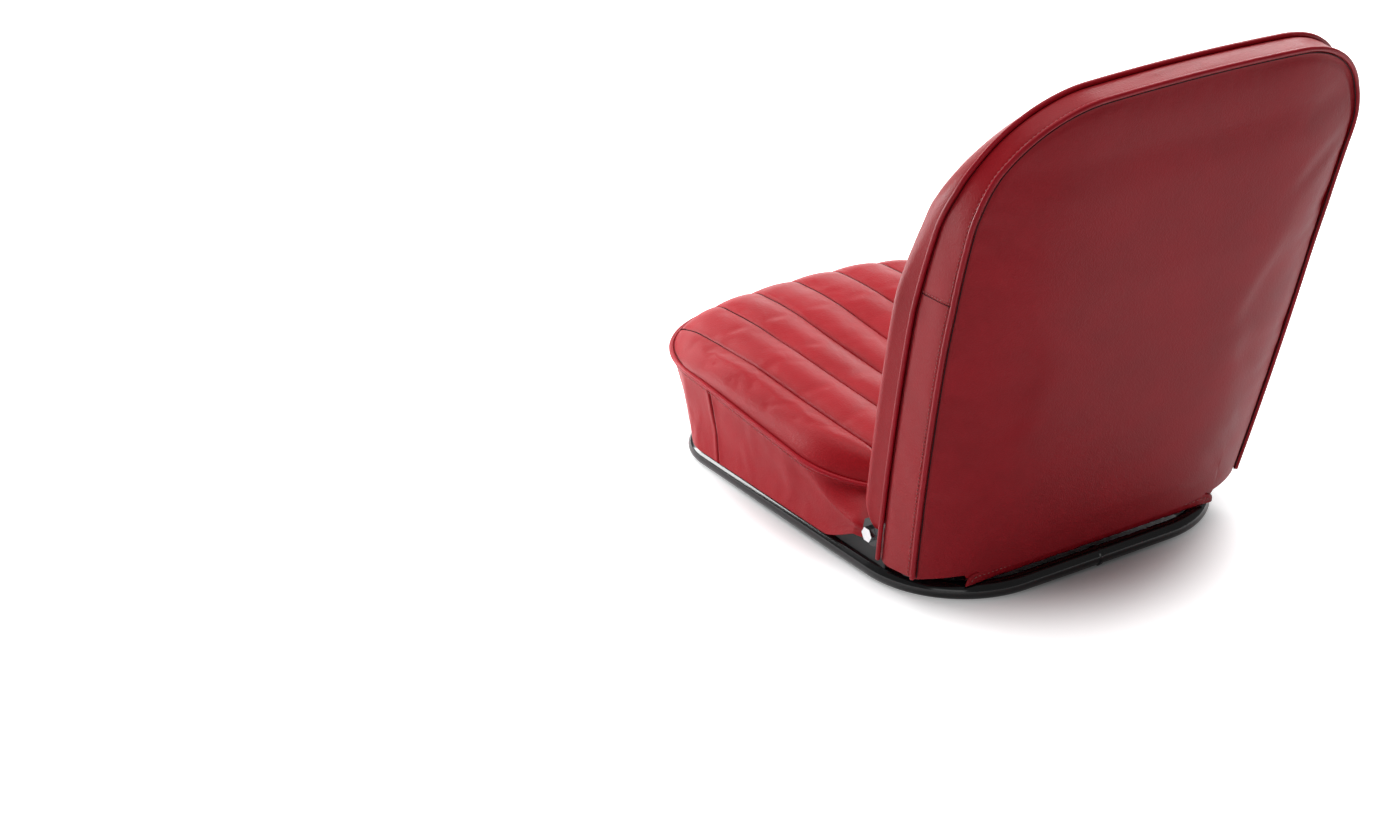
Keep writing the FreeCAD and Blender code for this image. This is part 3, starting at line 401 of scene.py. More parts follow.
def woven(name, colour, dark, scale):
    """Plain woven tape."""
    material, tree, main = shader(name)
    place = node(tree, "ShaderNodeTexCoord").outputs["Object"]
    warp_way = node(tree, "ShaderNodeTexWave", Scale=scale, Distortion=0.6)
    warp_way.bands_direction = "X"
    weft_way = node(tree, "ShaderNodeTexWave", Scale=scale, Distortion=0.6)
    weft_way.bands_direction = "Z"
    for texture in (warp_way, weft_way):
        tree.links.new(place, texture.inputs["Vector"])
    both = node(tree, "ShaderNodeMath", operation="MULTIPLY")
    tree.links.new(warp_way.outputs["Fac"], both.inputs[0])
    tree.links.new(weft_way.outputs["Fac"], both.inputs[1])
    tone = ramp(tree, both.outputs["Value"], 0.1, 0.9, dark, colour)
    tree.links.new(tone.outputs["Color"], main.inputs["Base Color"])
    main.inputs["Roughness"].default_value = 0.85
    rise = node(tree, "ShaderNodeBump", Strength=0.5, Distance=0.0004)
    tree.links.new(both.outputs["Value"], rise.inputs["Height"])
    tree.links.new(rise.outputs["Normal"], main.inputs["Normal"])
    return material


RED = vinyl("red_vinyl", (0.42, 0.012, 0.020, 1), (0.36, 0.009, 0.015, 1))
# A slightly darker copy of the red vinyl, for the rear cover, hem and leg folds that face away from the
# lamps: painted shade.
RED_SHADED = vinyl("red_vinyl_back_painted_shade", (0.40, 0.012, 0.021, 1), (0.33, 0.009, 0.016, 1), (0.38, 0.5))
PIPING = vinyl("red_piping", (0.44, 0.010, 0.022, 1), (0.37, 0.007, 0.016, 1), (0.3, 0.4), 0.2)
THREAD = vinyl("red_thread", (0.50, 0.20, 0.19, 1), (0.42, 0.12, 0.12, 1), (0.5, 0.65), 0.6)
# Near-black cords laid in the seams' creases: the seams are real, their near-black colour is painted shade
# in the creases.
SEAM_SHADE = vinyl("painted_seam_shade", (0.035, 0.003, 0.005, 1), (0.02, 0.002, 0.003, 1), (0.6, 0.75), 0.6)
SATIN = metal("black_satin", (0.004, 0.004, 0.005, 1), 0.0, (0.5, 0.65), 240.0, 0.05)
ENAMEL = metal("black_enamel", (0.006, 0.006, 0.007, 1), 0.0, (0.10, 0.18), 240.0, 0.03)
CHROME = metal("chrome", (0.80, 0.81, 0.83, 1), 1.0, (0.05, 0.12), 300.0, 0.03)
ZINC = metal("bright_zinc", (0.58, 0.59, 0.60, 1), 1.0, (0.22, 0.38), 420.0, 0.12)
SPRING = metal("spring_steel", (0.05, 0.055, 0.07, 1), 0.8, (0.22, 0.4), 420.0, 0.1)
RUBBER = metal("black_rubber", (0.018, 0.018, 0.018, 1), 0.0, (0.55, 0.75), 500.0, 0.25)
PLYWOOD = plywood()
TAPE = woven("webbing_tape", (0.42, 0.36, 0.27, 1), (0.20, 0.15, 0.10, 1), 160.0)


# Cushion

def plan(width, front, rear, front_corner, rear_corner, welt):
    """The cushion's outline seen from above, from the middle of its rear edge by +X to the front and back.

    welt is the place along the side where the boxing's pieces are joined."""
    centre_y = FRONT_BOW - front
    reach = math.sqrt((FRONT_BOW - front_corner) ** 2 - (width - front_corner) ** 2)
    corner_y = centre_y - reach
    turn = math.degrees(math.atan2(-reach, width - front_corner))
    half_rear = np.c_[np.linspace(0, width - rear_corner, 46, endpoint=False), np.full(46, rear)]
    rear_arc = arc(width - rear_corner, rear - rear_corner, rear_corner, 90, 0, 27)[:-1]
    beside = np.array([4.4, 2.8, 1.9, 1.3, 0.8, 0.4])
    along_side = np.concatenate([
        np.linspace(rear - rear_corner, welt + 7, 40), welt + beside, [welt], welt - beside[::-1],
        np.linspace(welt - 7, corner_y, 10, endpoint=False)])
    side = np.c_[np.full(len(along_side), width), along_side]
    front_arc = arc(width - front_corner, corner_y, front_corner, 0, turn, 25)[:-1]
    bow = arc(0, centre_y, FRONT_BOW, turn, -90, 31)
    half = np.vstack([half_rear, rear_arc, side, front_arc, bow])
    mirror = half[1:-1][::-1] * (-1, 1)
    return np.vstack([half, mirror])


def seam_height(y):
    """The piped seam's height: it climbs towards the front and levels out round the front corners."""
    y = np.asarray(y)
    return SEAM_Z - y * math.tan(SEAM_SLOPE) - 15.0 * smooth_step((-y - 130.0) / 240.0) ** 1.2


def nearest(points, line, chunk=4000):
    """Distance from each point to a closed polyline, with the place on it."""
    ends = np.roll(line, -1, 0) - line
    size = np.maximum((ends ** 2).sum(1), 1e-9)
    out = []
    for k in range(0, len(points), chunk):
        gap = points[k:k + chunk, None] - line[None]
        t = np.clip((gap * ends[None]).sum(2) / size[None], 0, 1)
        far = np.linalg.norm(gap - t[..., None] * ends[None], axis=2)
        out.append(far.min(1))
    return np.concatenate(out)


def corner_reach(a, width, corner):
    """How far a rounded corner reaches past its centre, at a place across."""
    return np.sqrt(np.maximum(corner ** 2 - np.maximum(a - (width - corner), 0) ** 2, 0))


def cushion_ends(x):
    """The front and rear ends of the cushion's top along a line at x."""
    width, front, rear, front_corner, rear_corner = SEAM_PLAN
    centre_y = FRONT_BOW - front
    reach = math.sqrt((FRONT_BOW - front_corner) ** 2 - (width - front_corner) ** 2)
    corner_y = centre_y - reach
    turn_x = (width - front_corner) * FRONT_BOW / (FRONT_BOW - front_corner)
    a = np.minimum(np.abs(x), width)
    on_bow = centre_y - np.sqrt(FRONT_BOW ** 2 - a ** 2)
    on_corner = corner_y - corner_reach(a, width, front_corner)
    low = np.where(a < turn_x, on_bow, on_corner)
    high = rear - rear_corner + corner_reach(a, width, rear_corner)
    return low, high


SEAM_LINE = plan(*SEAM_PLAN, WELT_SEAM)
CUSHION_SEAMS = [i * PITCH for i in range(-3, 4)]


def channel(off, groove=True):
    """How deep the cover is drawn in at a place beside a sewn channel seam."""
    a = np.abs(off)
    drop = 5.4 * np.clip(1 - a / 28.0, 0, 1) ** 2 + 1.2 * np.exp(-a / 3.0)
    if groove:
        drop = drop + 2.4 * np.exp(-(a / 1.1) ** 1.8)
    return drop


def cushion_surface(x, y, far, groove=True):
    """The top with its sewn channels: height at a place that is a given distance from the piping."""
    t = np.clip(far / 34.0, 0, 1)
    rise = (1 - (1 - t) ** 2.2) ** 0.62
    high = np.interp(y, *CROWN)
    beside = np.clip((np.abs(x) - 96.0) / 110.0, 0, 1) ** 1.5
    high = high - beside * (5.0 + 8.0 * smooth_step((-y - 130.0) / 100.0))
    high = high - np.interp(y, *DISH) * np.clip(1 - (x / 112.0) ** 2, 0, 1)
    z = seam_height(y) * (1 - rise) + high * rise
    fade = smooth_step(far / 16.0)
    shallow = 0.5 + 0.5 * smooth_step((y + 250.0) / 130.0)
    for seam in CUSHION_SEAMS:
        z = z - channel(x - seam, groove) * fade * shallow
    return z


def cushion_unevenness(x, y, far):
    return 0.8 * soft_noise(x / 430, y / 430, 7) * smooth_step(far / 20.0)


def seam_columns(seams, width, corner, coarse):
    """Column places with extra ones beside each seam and towards the sides."""
    near = [0, 0.6, 1.2, 1.9, 3.0, 5.0, 8.5, 13.0]
    places = {0.0}
    for seam in seams:
        for gap in near:
            places.update((seam - gap, seam + gap))
    flat = width - corner
    spots = np.arange(-flat, flat + 0.1, coarse)
    for spot in spots:
        if min(abs(spot - p) for p in places) > coarse * 0.55:
            places.add(float(spot))
    edge = flat + corner * np.sin(np.radians(np.linspace(4, 90, 20)))
    limit = flat + 1
    places = {p for p in places if abs(p) <= limit}
    outer = [p for p in edge if p > max(places) + 1.0]
    return np.array(sorted(places | set(outer) | {-p for p in outer}))


def cushion_top_piece():
    cols = seam_columns(CUSHION_SEAMS, SEAM_PLAN[0], 36.0, 5.0)
    row_t = np.concatenate([[0, 0.0012, 0.004, 0.009, 0.016, 0.026, 0.038], np.linspace(0.052, 0.948, 74),
                            [0.962, 0.974, 0.984, 0.991, 0.996, 0.9988, 1]])
    low, high = cushion_ends(cols)
    x = np.broadcast_to(cols, (len(row_t), len(cols)))
    y = low + (high - low) * row_t[:, None]
    far = nearest(np.c_[x.ravel(), y.ravel()], SEAM_LINE).reshape(x.shape)
    z = cushion_surface(x, y, far)

    gx = np.linspace(-SEAM_PLAN[0], SEAM_PLAN[0], 75)
    gy = np.linspace(-SEAM_PLAN[1], SEAM_PLAN[2], 75)
    sx, sy = np.meshgrid(gx, gy)
    gap = nearest(np.c_[sx.ravel(), sy.ravel()], SEAM_LINE).reshape(sx.shape)
    ends = cushion_ends(sx)
    outside = (sy < ends[0]) | (sy > ends[1])
    gap = np.where(outside, 0, gap)
    sz = cushion_surface(sx, sy, gap, groove=False)
    on_seam = np.min([np.abs(sx - s) for s in CUSHION_SEAMS], axis=0) < 3.0
    pinned = (gap < 6.0) | on_seam
    field = cloth_rest(np.stack([sx, sy, sz], -1), pinned, 3.0, 0.003, 2.0)
    shift = read_field(field, (y + SEAM_PLAN[1]) / (SEAM_PLAN[1] + SEAM_PLAN[2]),
                       (x + SEAM_PLAN[0]) / (2 * SEAM_PLAN[0]))
    near_seam = np.min([np.abs(x - s) for s in CUSHION_SEAMS], axis=0)
    mask = smooth_step(far / 10.0) * smooth_step((near_seam - 0.5) / 4.0)
    grid = np.stack([x, y, z], -1) + shift * mask[..., None]
    grid[..., 2] += cushion_unevenness(x, y, far)
    thing = sheet_mesh("cushion_top_cover", grid, RED)
    return refine(thing)


def foot_rise(path):
    """How far the boxing's lower edge rises over the pivot brackets at the rear corners."""
    a = np.abs(path[:, 0])
    climb = np.clip((path[:, 1] - 58.0) / 48.0, 0, 1) ** 1.2
    return 22.0 * climb * smooth_step((a - 120.0) / 50.0)


def wall_corner(v):
    """Radius of the boxing's rear corners, v from 0 at its foot to 1 at the seam."""
    return FOOT_PLAN[4] + (SEAM_PLAN[4] - FOOT_PLAN[4]) * smooth_step((v - 0.25) / 0.75)


def cushion_wall(v):
    """One level ring of the boxing, v from 0 at its foot to 1 at the seam."""
    blend = [f * (1 - v) + s * v for f, s in zip(FOOT_PLAN, SEAM_PLAN)]
    blend[4] = float(wall_corner(v))
    welt = WELT_FOOT * (1 - v) + WELT_SEAM * v
    path = plan(*blend, welt)
    tangent = unit(np.roll(path, -1, 0) - np.roll(path, 1, 0))
    outward = np.c_[-tangent[:, 1], tangent[:, 0]]
    beside_plate = smooth_step((path[:, 1] - 10) / 50.0)
    waist = 2.4 * math.sin(math.pi * v) * (1 - 0.5 * v) * (1 - 0.8 * beside_plate)
    off = np.where(np.abs(path[:, 0]) > blend[0] - 0.5, np.abs(path[:, 1] - welt), 50.0)
    joint = 2.6 * np.exp(-(off / 1.15) ** 2) - 0.7 * np.exp(-((off - 4.0) / 3.0) ** 2)
    path = path - outward * (waist + joint)[:, None]
    foot = FOOT_Z + foot_rise(path)
    z = foot + (seam_height(path[:, 1]) - 1.0 - foot) * v
    return np.c_[path, z], np.c_[outward, np.zeros(len(path))]


def cushion_boxing_piece():
    levels = np.concatenate([[0, 0.015, 0.04], np.linspace(0.08, 0.93, 19), [0.965, 0.985, 1.0]])
    rings, normals = zip(*[cushion_wall(v) for v in levels])
    grid, outward = np.array(rings), np.array(normals)
    n = grid.shape[1]
    pinned = np.zeros(grid.shape[:2], bool)
    pinned[:2] = pinned[-2:] = True
    field = cloth_rest(grid, pinned, 1.5, 0.002, 1.5, wrap_cols=True)
    grid = grid + field
    u = np.broadcast_to(np.linspace(0, 1, n, endpoint=False), grid.shape[:2])
    v = np.broadcast_to(levels[:, None], grid.shape[:2])
    swell = 1.0 * soft_noise(u * 9, v * 0.8, 11) * np.sin(np.pi * v)
    grid = grid + outward * swell[..., None]
    foot = plan(*FOOT_PLAN, WELT_FOOT)
    under = []
    for inset, up in ((1.2, -0.1), (4, 0.0), (12, 0.1), (20, 0.3), (26, 1.0)):
        ring = plan(*[size - inset for size in FOOT_PLAN], WELT_FOOT)
        under.append(np.c_[ring, FOOT_Z + up + foot_rise(foot)])
    grid = np.concatenate([np.array(under[::-1]), grid])
    thing = sheet_mesh("cushion_boxing_cover", grid, RED, wrap_cols=True)
    return refine(thing)


def channel_runs():
    """The lines at the bottom of the cushion's channels, along which near-black cords are laid as painted
    shade in the creases.
    """
    runs = []
    for seam in CUSHION_SEAMS:
        low, high = cushion_ends(np.array([seam]))
        y = np.linspace(low[0] + 1.5, high[0] - 1.5, 240)
        x = np.full(len(y), seam)
        far = nearest(np.c_[x, y], SEAM_LINE)
        z = cushion_surface(x, y, far) + cushion_unevenness(x, y, far) + 0.25
        runs.append((np.stack([x, y, z], 1), np.broadcast_to((0.0, 0.0, 1.0), (len(y), 3))))
    return runs


def welt_runs():
    """The lines at the bottom of the boxing's two upright joints, along which near-black cords are laid as
    painted shade.
    """
    v = np.linspace(0.01, 0.985, 60)
    runs = []
    for sign in (1, -1):
        z = FOOT_Z + (seam_height(WELT_FOOT * (1 - v) + WELT_SEAM * v) - 1.0 - FOOT_Z) * v
        waist = 2.4 * np.sin(np.pi * v) * (1 - 0.5 * v)
        x = FOOT_PLAN[0] * (1 - v) + SEAM_PLAN[0] * v - waist - 2.1
        path = np.stack([sign * x, WELT_FOOT * (1 - v) + WELT_SEAM * v, z], 1)
        runs.append((path, np.broadcast_to((float(sign), 0.0, 0.0), path.shape)))
    return runs


def ring_path(offset_out, drop):
    """A closed line round the cushion beside its piping."""
    path = SEAM_LINE
    tangent = unit(np.roll(path, -1, 0) - np.roll(path, 1, 0))
    outward = np.c_[-tangent[:, 1], tangent[:, 0]]
    moved = path + outward * offset_out
    return np.c_[moved, seam_height(path[:, 1]) - drop], np.c_[outward, np.zeros(len(path))]


# Backrest

def half_outline(n=700):
    """The backrest's outline for x above zero, from its foot to the middle of the top."""
    side_x, corner_x = HALF_WIDTH - SIDE_R, HALF_WIDTH - CORNER_R
    top_y = SHOULDER - math.sqrt((TOP_R - CORNER_R) ** 2 - corner_x ** 2)
    turn = math.degrees(math.atan2(SHOULDER - top_y, corner_x))
    low = -math.degrees(math.asin((SHOULDER - FOOT) / SIDE_R))
    side = arc(side_x, SHOULDER, SIDE_R, low, 0, n)
    corner = arc(corner_x, SHOULDER, CORNER_R, 0, turn, n)
    top = arc(0, top_y, TOP_R, turn, 90, n)
    return np.vstack([side[:-1], corner[:-1], top])


HALF = half_outline()
BACK_LINE = along(np.vstack([HALF, (HALF * (-1, 1))[::-1][1:]]), 520)


def top_of(x):
    """The outline's height over a place across."""
    order = HALF[HALF[:, 1] >= SHOULDER - 1]
    return np.interp(np.abs(x), order[::-1, 0], order[::-1, 1])


def half_width_at(s):
    order = HALF[HALF[:, 1] <= SHOULDER]
    return np.interp(s, order[:, 1], order[:, 0])


def share(x, s):
    """Along a ray from the middle of the foot: the share of the way to the outline, and the whole way."""
    angle = np.arctan2(HALF[:, 1] - FOOT, HALF[:, 0])
    reach = np.hypot(HALF[:, 0], HALF[:, 1] - FOOT)
    whole = np.interp(np.arctan2(s - FOOT, np.abs(x)), angle, reach)
    return np.hypot(x, s - FOOT) / whole, whole


def taper(depth, s):
    """How far a place moves rearward, as the sides are deeper at the feet and thinner at the top."""
    ahead = np.interp(s, *TAPER_AHEAD)
    behind = np.interp(s, *TAPER_BEHIND)
    share_behind = np.clip((depth - FRONT_SEAM) / BAND, 0, 1)
    return ahead + (behind - ahead) * share_behind


def back_place(x, depth, s):
    """From the backrest's frame to the seat's, with its slight rearward bow near the top."""
    deep = depth + taper(depth, s) + BOW * np.maximum(s - BOW_START, 0) ** 2
    return np.stack([x, PIVOT_Y + deep * math.cos(LEAN) + s * math.sin(LEAN),
                     PIVOT_Z - deep * math.sin(LEAN) + s * math.cos(LEAN)], -1)


def foot_height(depth):
    """Height over the floor at which the legs' covers end: they slant up towards the rear."""
    return 26.5 + 9.5 * np.clip((depth - 30.0) / 45.0, 0, 1)


def back_rows(low, x_cols, t):
    """Places of a cover's grid: rows from its foot to the outline's top, columns across."""
    top = top_of(x_cols * HALF_WIDTH)
    s = low + (top - low) * t[:, None]
    inward = HALF_WIDTH - half_width_at(np.minimum(s, SHOULDER))
    lead = np.clip((np.abs(x_cols) - 0.6) / 0.4, 0, 1) ** 1.5
    x = x_cols * HALF_WIDTH - np.sign(x_cols) * lead * inward
    return x, s


def edge_columns(seams, coarse=5.5):
    """Columns as shares of the half width, close together near the sides and the seams."""
    near = [0, 0.6, 1.2, 1.9, 3.0, 5.0, 8.5, 13.0]
    inner = {0.0}
    for seam in seams:
        for gap in near:
            inner.update((seam - gap, seam + gap))
    for spot in np.arange(-204, 204.1, coarse):
        if min(abs(spot - p) for p in inner) > coarse * 0.55:
            inner.add(float(spot))
    insets = (30.8, 25.3, 20.3, 15.8, 11.8, 8.6, 6.0, 4.0, 2.5, 1.4, 0.7, 0.3, 0.0)
    outer = [HALF_WIDTH - inset for inset in insets]
    places = sorted(inner | set(outer) | {-p for p in outer})
    return np.array(places) / HALF_WIDTH


def foot_line(x):
    """The rear cover's lower edge: down to the feet at the sides, arched over between them."""
    a = np.abs(x)
    bend = np.sqrt(np.maximum(ARCH_BEND ** 2 - np.maximum(a - (ARCH_HALF - ARCH_BEND), 0) ** 2, 0))
    return np.where(a < ARCH_HALF, ARCH_TOP - FOOT - ARCH_BEND + bend, 0.0)


def rear_depth(rho):
    """Depth of the rear cover: dipped beside the piping, crowned in the middle."""
    far = (1 - rho) * HALF_WIDTH
    dip = 1.5 * np.exp(-((far - 2.4) / 1.6) ** 2)
    return REAR_SEAM - 0.8 + REAR_CROWN * (1 - rho ** 4.4) ** 0.98 - dip


def rear_piece():
    cols = edge_columns([])
    extra = np.array([153, 156, 159, 161.5, 163.3, 164.5, 165.3, 168.0]) / HALF_WIDTH
    cols = np.array(sorted(set(cols) | set(extra) | set(-extra)))
    t = np.concatenate([[0, 0.006, 0.014, 0.024, 0.036], np.linspace(0.05, 0.955, 78),
                        [0.967, 0.976, 0.984, 0.990, 0.9945, 0.9975, 0.999, 1]])
    x, s = back_rows(FOOT, cols, t)
    rise = s - FOOT
    s = s + foot_line(x) * np.clip(1 - rise / 110.0, 0, 1)
    rho, reach = share(x, s)
    rho = np.minimum(rho, 1)
    deep = rear_depth(rho)
    foot = np.where(np.abs(x) > ARCH_HALF, foot_height(deep), ARCH_CLEAR)
    low = (foot - PIVOT_Z + deep * math.sin(LEAN)) / math.cos(LEAN)
    s = s + np.maximum(low - s, 0) * np.clip(1 - rise / 60.0, 0, 1)

    gx, gs = np.meshgrid(np.linspace(-1, 1, 73), np.linspace(0, 1, 81))
    sx, ss = gx * HALF_WIDTH, FOOT + gs * (HALF[-1, 1] - FOOT)
    r, _ = share(sx, ss)
    inside = np.minimum(r, 1)
    sd = rear_depth(inside)
    pinned = (r > 0.985) | (ss < FOOT + 34)
    field = cloth_rest(back_place(sx, sd, ss), pinned, -1.5, 0.002, 2.0)
    shift = read_field(field, rise / (HALF[-1, 1] - FOOT), (x / HALF_WIDTH + 1) / 2)
    far = (1 - rho) * reach
    mask = smooth_step(far / 14.0) * smooth_step((rise - 10) / 40.0)
    grid = back_place(x, deep, s) + shift * mask[..., None]
    grid = grid + gathers(x, s, rho, far)[..., None] * np.array([0, math.cos(LEAN), -math.sin(LEAN)])
    thing = sheet_mesh("backrest_rear_cover", grid, RED_SHADED, flip=True)
    return refine(thing)


def gathers(x, s, rho, far):
    """Short pulled folds that run in from the piping on both sides of the rear cover."""
    total = np.zeros_like(x)
    draw = np.random.default_rng(23)
    for sign in (1, -1):
        for _ in range(15):
            middle = draw.uniform(90, 440)
            width = draw.uniform(4.5, 9)
            length = draw.uniform(26, 70)
            tilt = draw.uniform(-0.25, 0.12)
            deep = draw.uniform(0.35, 1.0)
            across = (s - middle - tilt * far) / width
            along_it = np.exp(-((far - 10) / length) ** 2) * smooth_step(far / 8.0)
            total -= deep * np.exp(-across ** 2) * along_it * (sign * x > 0)
    return total


BACK_SEAMS = [i * PITCH for i in range(-2, 3)]
SEAM_TOP = 450.0


def over_shoulder(x, s):
    """0 beside the facing's steep side rolls, 1 over its gently sloping top."""
    return smooth_step((np.degrees(np.arctan2(s - FOOT, np.abs(x))) - 58.0) / 17.0)


def front_depth(x, s, rho, groove=True):
    """Depth of the padded facing, less towards the front."""
    steep = (1 - np.minimum(rho, 1) ** 13) ** (0.22 + 0.16 * smooth_step((s - 290.0) / 120.0))
    inset = (1 - np.minimum(rho, 1)) * share(x, s)[1]
    gentle = 1 - (1 - np.clip(inset / 84.0, 0, 1)) ** 2
    aloft = over_shoulder(x, s)
    forward = FRONT_ROLL * (steep * (1 - aloft) + gentle * aloft)
    lower = np.clip((s - ROLL_FOOT) / 26.0, 0, 1)
    forward = forward * (0.30 + 0.70 * np.sqrt(1 - (1 - lower) ** 2))
    fade = smooth_step((SEAM_TOP - s) / 10.0) * smooth_step((1 - rho) * 20)
    for seam in BACK_SEAMS:
        forward = forward - channel(x - seam, groove) * fade
    over = np.clip(1 - np.abs(s - SEAM_TOP) / 18.0, 0, 1) ** 2 * smooth_step((116.0 - np.abs(x)) / 8.0)
    forward = forward - 5.2 * over
    return FRONT_SEAM - forward


def clear_cushion(x, depth, s):
    """Keeps the facing just behind the cushion's rear wall at rest."""
    width, _, rear, _, corner = SEAM_PLAN
    a = np.abs(x)
    wall = rear - corner + corner_reach(a, width, corner)
    wall = np.where(a < width, wall, -200.0) + 1.2
    least = (wall - PIVOT_Y - s * math.sin(LEAN)) / math.cos(LEAN) - taper(0.0, s)
    height = PIVOT_Z + s * math.cos(LEAN)
    press = smooth_step((118.0 - height) / 14.0)
    return np.where(least > depth, depth + (least - depth) * press, depth)


FOLD = math.radians(57.0)
FOLD_LEAN = LEAN - FOLD
REST_TOP = 127.0


def fold_limit(depth, s):
    """How far a place of the backrest stays above the cushion's top when it is folded."""
    deep = depth + taper(depth, s)
    return -deep * math.sin(FOLD_LEAN) + s * math.cos(FOLD_LEAN) + PIVOT_Z - REST_TOP


def over_cushion(x, depth, s):
    """Whether a place of the backrest lies over the cushion's plan when it is folded."""
    deep = depth + taper(depth, s)
    y = PIVOT_Y + deep * math.cos(FOLD_LEAN) + s * math.sin(FOLD_LEAN)
    height = fold_limit(depth, s) + REST_TOP
    corner = wall_corner(np.clip((height - FOOT_Z) / (SEAM_Z - FOOT_Z), 0, 1))
    width, _, rear = SEAM_PLAN[:3]
    a = np.abs(x)
    wall = rear - corner + corner_reach(a, width, corner)
    return (a < width + 6.0) & (y < wall + 7.0)


def front_grid(cols, t):
    x, s = back_rows(ROLL_FOOT, cols, t)
    rho, reach = share(x, s)
    rho[:, [0, -1]] = 1.0
    rho[-1] = 1.0
    depth = clear_cushion(x, front_depth(x, s, rho), s)
    edge = np.minimum(rho, 1)
    plump = 12.0 * (1 - edge ** 60) ** 0.6 * edge ** 40 * (1 - smooth_step((s - 290.0) / 120.0))
    return x + np.sign(x) * plump, s, rho, reach, depth


def front_piece():
    cols = edge_columns(BACK_SEAMS)
    t = np.concatenate([[0, 0.003, 0.008, 0.015, 0.024, 0.036], np.linspace(0.05, 0.955, 84),
                        [0.966, 0.975, 0.982, 0.988, 0.9925, 0.9955, 0.9975, 0.999, 1]])
    x, s, rho, reach, depth = front_grid(cols, t)
    gx, gs = np.meshgrid(np.linspace(-1, 1, 73), np.linspace(0, 1, 78))
    sx, ss = gx * HALF_WIDTH, ROLL_FOOT + gs * (HALF[-1, 1] - ROLL_FOOT)
    r, _ = share(sx, ss)
    sd = front_depth(sx, ss, np.minimum(r, 0.97), groove=False)
    on_seam = (np.min([np.abs(sx - k) for k in BACK_SEAMS], axis=0) < 3.4) & (ss < SEAM_TOP)
    pinned = (r > 0.955) | (ss < ROLL_FOOT + 70) | on_seam
    field = cloth_rest(back_place(sx, sd, ss), pinned, -3.0, 0.003, 2.5)
    shift = read_field(field, (s - ROLL_FOOT) / (HALF[-1, 1] - ROLL_FOOT), (x / HALF_WIDTH + 1) / 2)
    far = (1 - rho) * reach
    near = np.min([np.abs(x - k) for k in BACK_SEAMS], axis=0)
    mask = smooth_step((far - 6) / 16.0) * np.where(s < SEAM_TOP, smooth_step((near - 0.5) / 4.0), 1)
    mask = mask * smooth_step((s - 90) / 40.0)
    grid = back_place(x, depth, s) + shift * mask[..., None]
    rows, count = x.shape
    pad = (fold_limit(depth, s) < 0) & over_cushion(x, depth, s)
    faces = np.array(grid_faces(rows, count))
    in_pad = pad.reshape(-1)[faces].all(1)
    main = part_of("backrest_front_cover", grid.reshape(-1, 3), faces[~in_pad], RED)
    low = part_of("backrest_tuck_cover", grid.reshape(-1, 3), faces[in_pad], RED)
    return refine(main), refine(low)


def part_of(name, points, faces, material):
    used = np.unique(faces)
    new = np.full(len(points), -1)
    new[used] = np.arange(len(used))
    return new_mesh(name, points[used], new[faces], material)


def band_swell(v):
    """How far the band stands out between its pipings, v from 0 at the front to 1 at the rear."""
    return 1.6 * (1 - (2 * v - 1) ** 4) - 0.2


def band_piece():
    """The gusset between the two pipings, with its lower ends held up at the legs' foot height."""
    n = len(BACK_LINE)
    tangent = unit(np.gradient(BACK_LINE, axis=0))
    outward = np.c_[tangent[:, 1], -tangent[:, 0]]
    across = np.array([0, 0.03, 0.06, 0.1, 0.15, 0.22, 0.35, 0.5, 0.65, 0.78, 0.85, 0.9, 0.94, 0.97, 1.0])
    rows = []
    for v in across:
        edge = min(v, 1 - v) * BAND
        swell = band_swell(v) - 1.7 * math.exp(-(edge / 3.0) ** 2)
        spot = BACK_LINE + outward * swell
        uneven = 0.35 * soft_noise(np.linspace(0, 14, n), np.full(n, v), 31) * (1 - (2 * v - 1) ** 2)
        spot = spot + outward * uneven[:, None]
        depth = FRONT_SEAM + BAND * v
        row = back_place(spot[:, 0], np.full(n, depth), spot[:, 1])
        row[:, 2] = np.maximum(row[:, 2], foot_height(depth))
        rows.append(row)
    grid = np.array(rows)
    return refine(sheet_mesh("backrest_side_band_cover", grid, RED))


def outline_path(depth, out):
    """A line along the backrest's outline at a depth, and its outward directions."""
    count = 520
    line = along(BACK_LINE, count)
    tangent = unit(np.gradient(line, axis=0))
    outward = np.c_[tangent[:, 1], -tangent[:, 0]]
    spot = line + outward * out
    place = back_place(spot[:, 0], np.full(count, depth), spot[:, 1])
    way = np.c_[outward[:, 0], outward[:, 1] * math.sin(LEAN), outward[:, 1] * math.cos(LEAN)]
    keep = place[:, 2] > foot_height(depth) + PIPING_R - 2.0
    return place[keep], way[keep]


def band_joint(lift=0.0, rise=0.0):
    """The line across the band, on both sides, where its two lengths are joined."""
    runs = []
    for sign in (1, -1):
        v = np.linspace(0.09, 0.91, 24)
        s = 319.0 + 13.0 * v + rise
        x = sign * (half_width_at(s) + (band_swell(v) + lift))
        path = back_place(x, FRONT_SEAM + BAND * v, s)
        runs.append((path, np.broadcast_to((float(sign), 0.0, 0.0), path.shape)))
    return runs


def facing_runs():
    """The lines at the bottom of the facing's channels, and across their tops, along which near-black cords
    are laid as painted shade.
    """
    ahead = np.array((0.0, -math.cos(LEAN), math.sin(LEAN)))
    runs = []
    for seam in BACK_SEAMS:
        s = np.linspace(ROLL_FOOT + 4, SEAM_TOP - 4, 260)
        x = np.full(len(s), seam)
        rho, _ = share(x, s)
        depth = clear_cushion(x, front_depth(x, s, rho), s)
        keep = fold_limit(depth, s) > 4.0
        path = back_place(x, depth - 0.25, s)[keep]
        runs.append((path, np.broadcast_to(ahead, path.shape)))
    x = np.linspace(-112, 112, 150)
    s = np.full(len(x), SEAM_TOP)
    path = back_place(x, front_depth(x, s, share(x, s)[0]) - 0.3, s)
    runs.append((path, np.broadcast_to(ahead, path.shape)))
    return runs


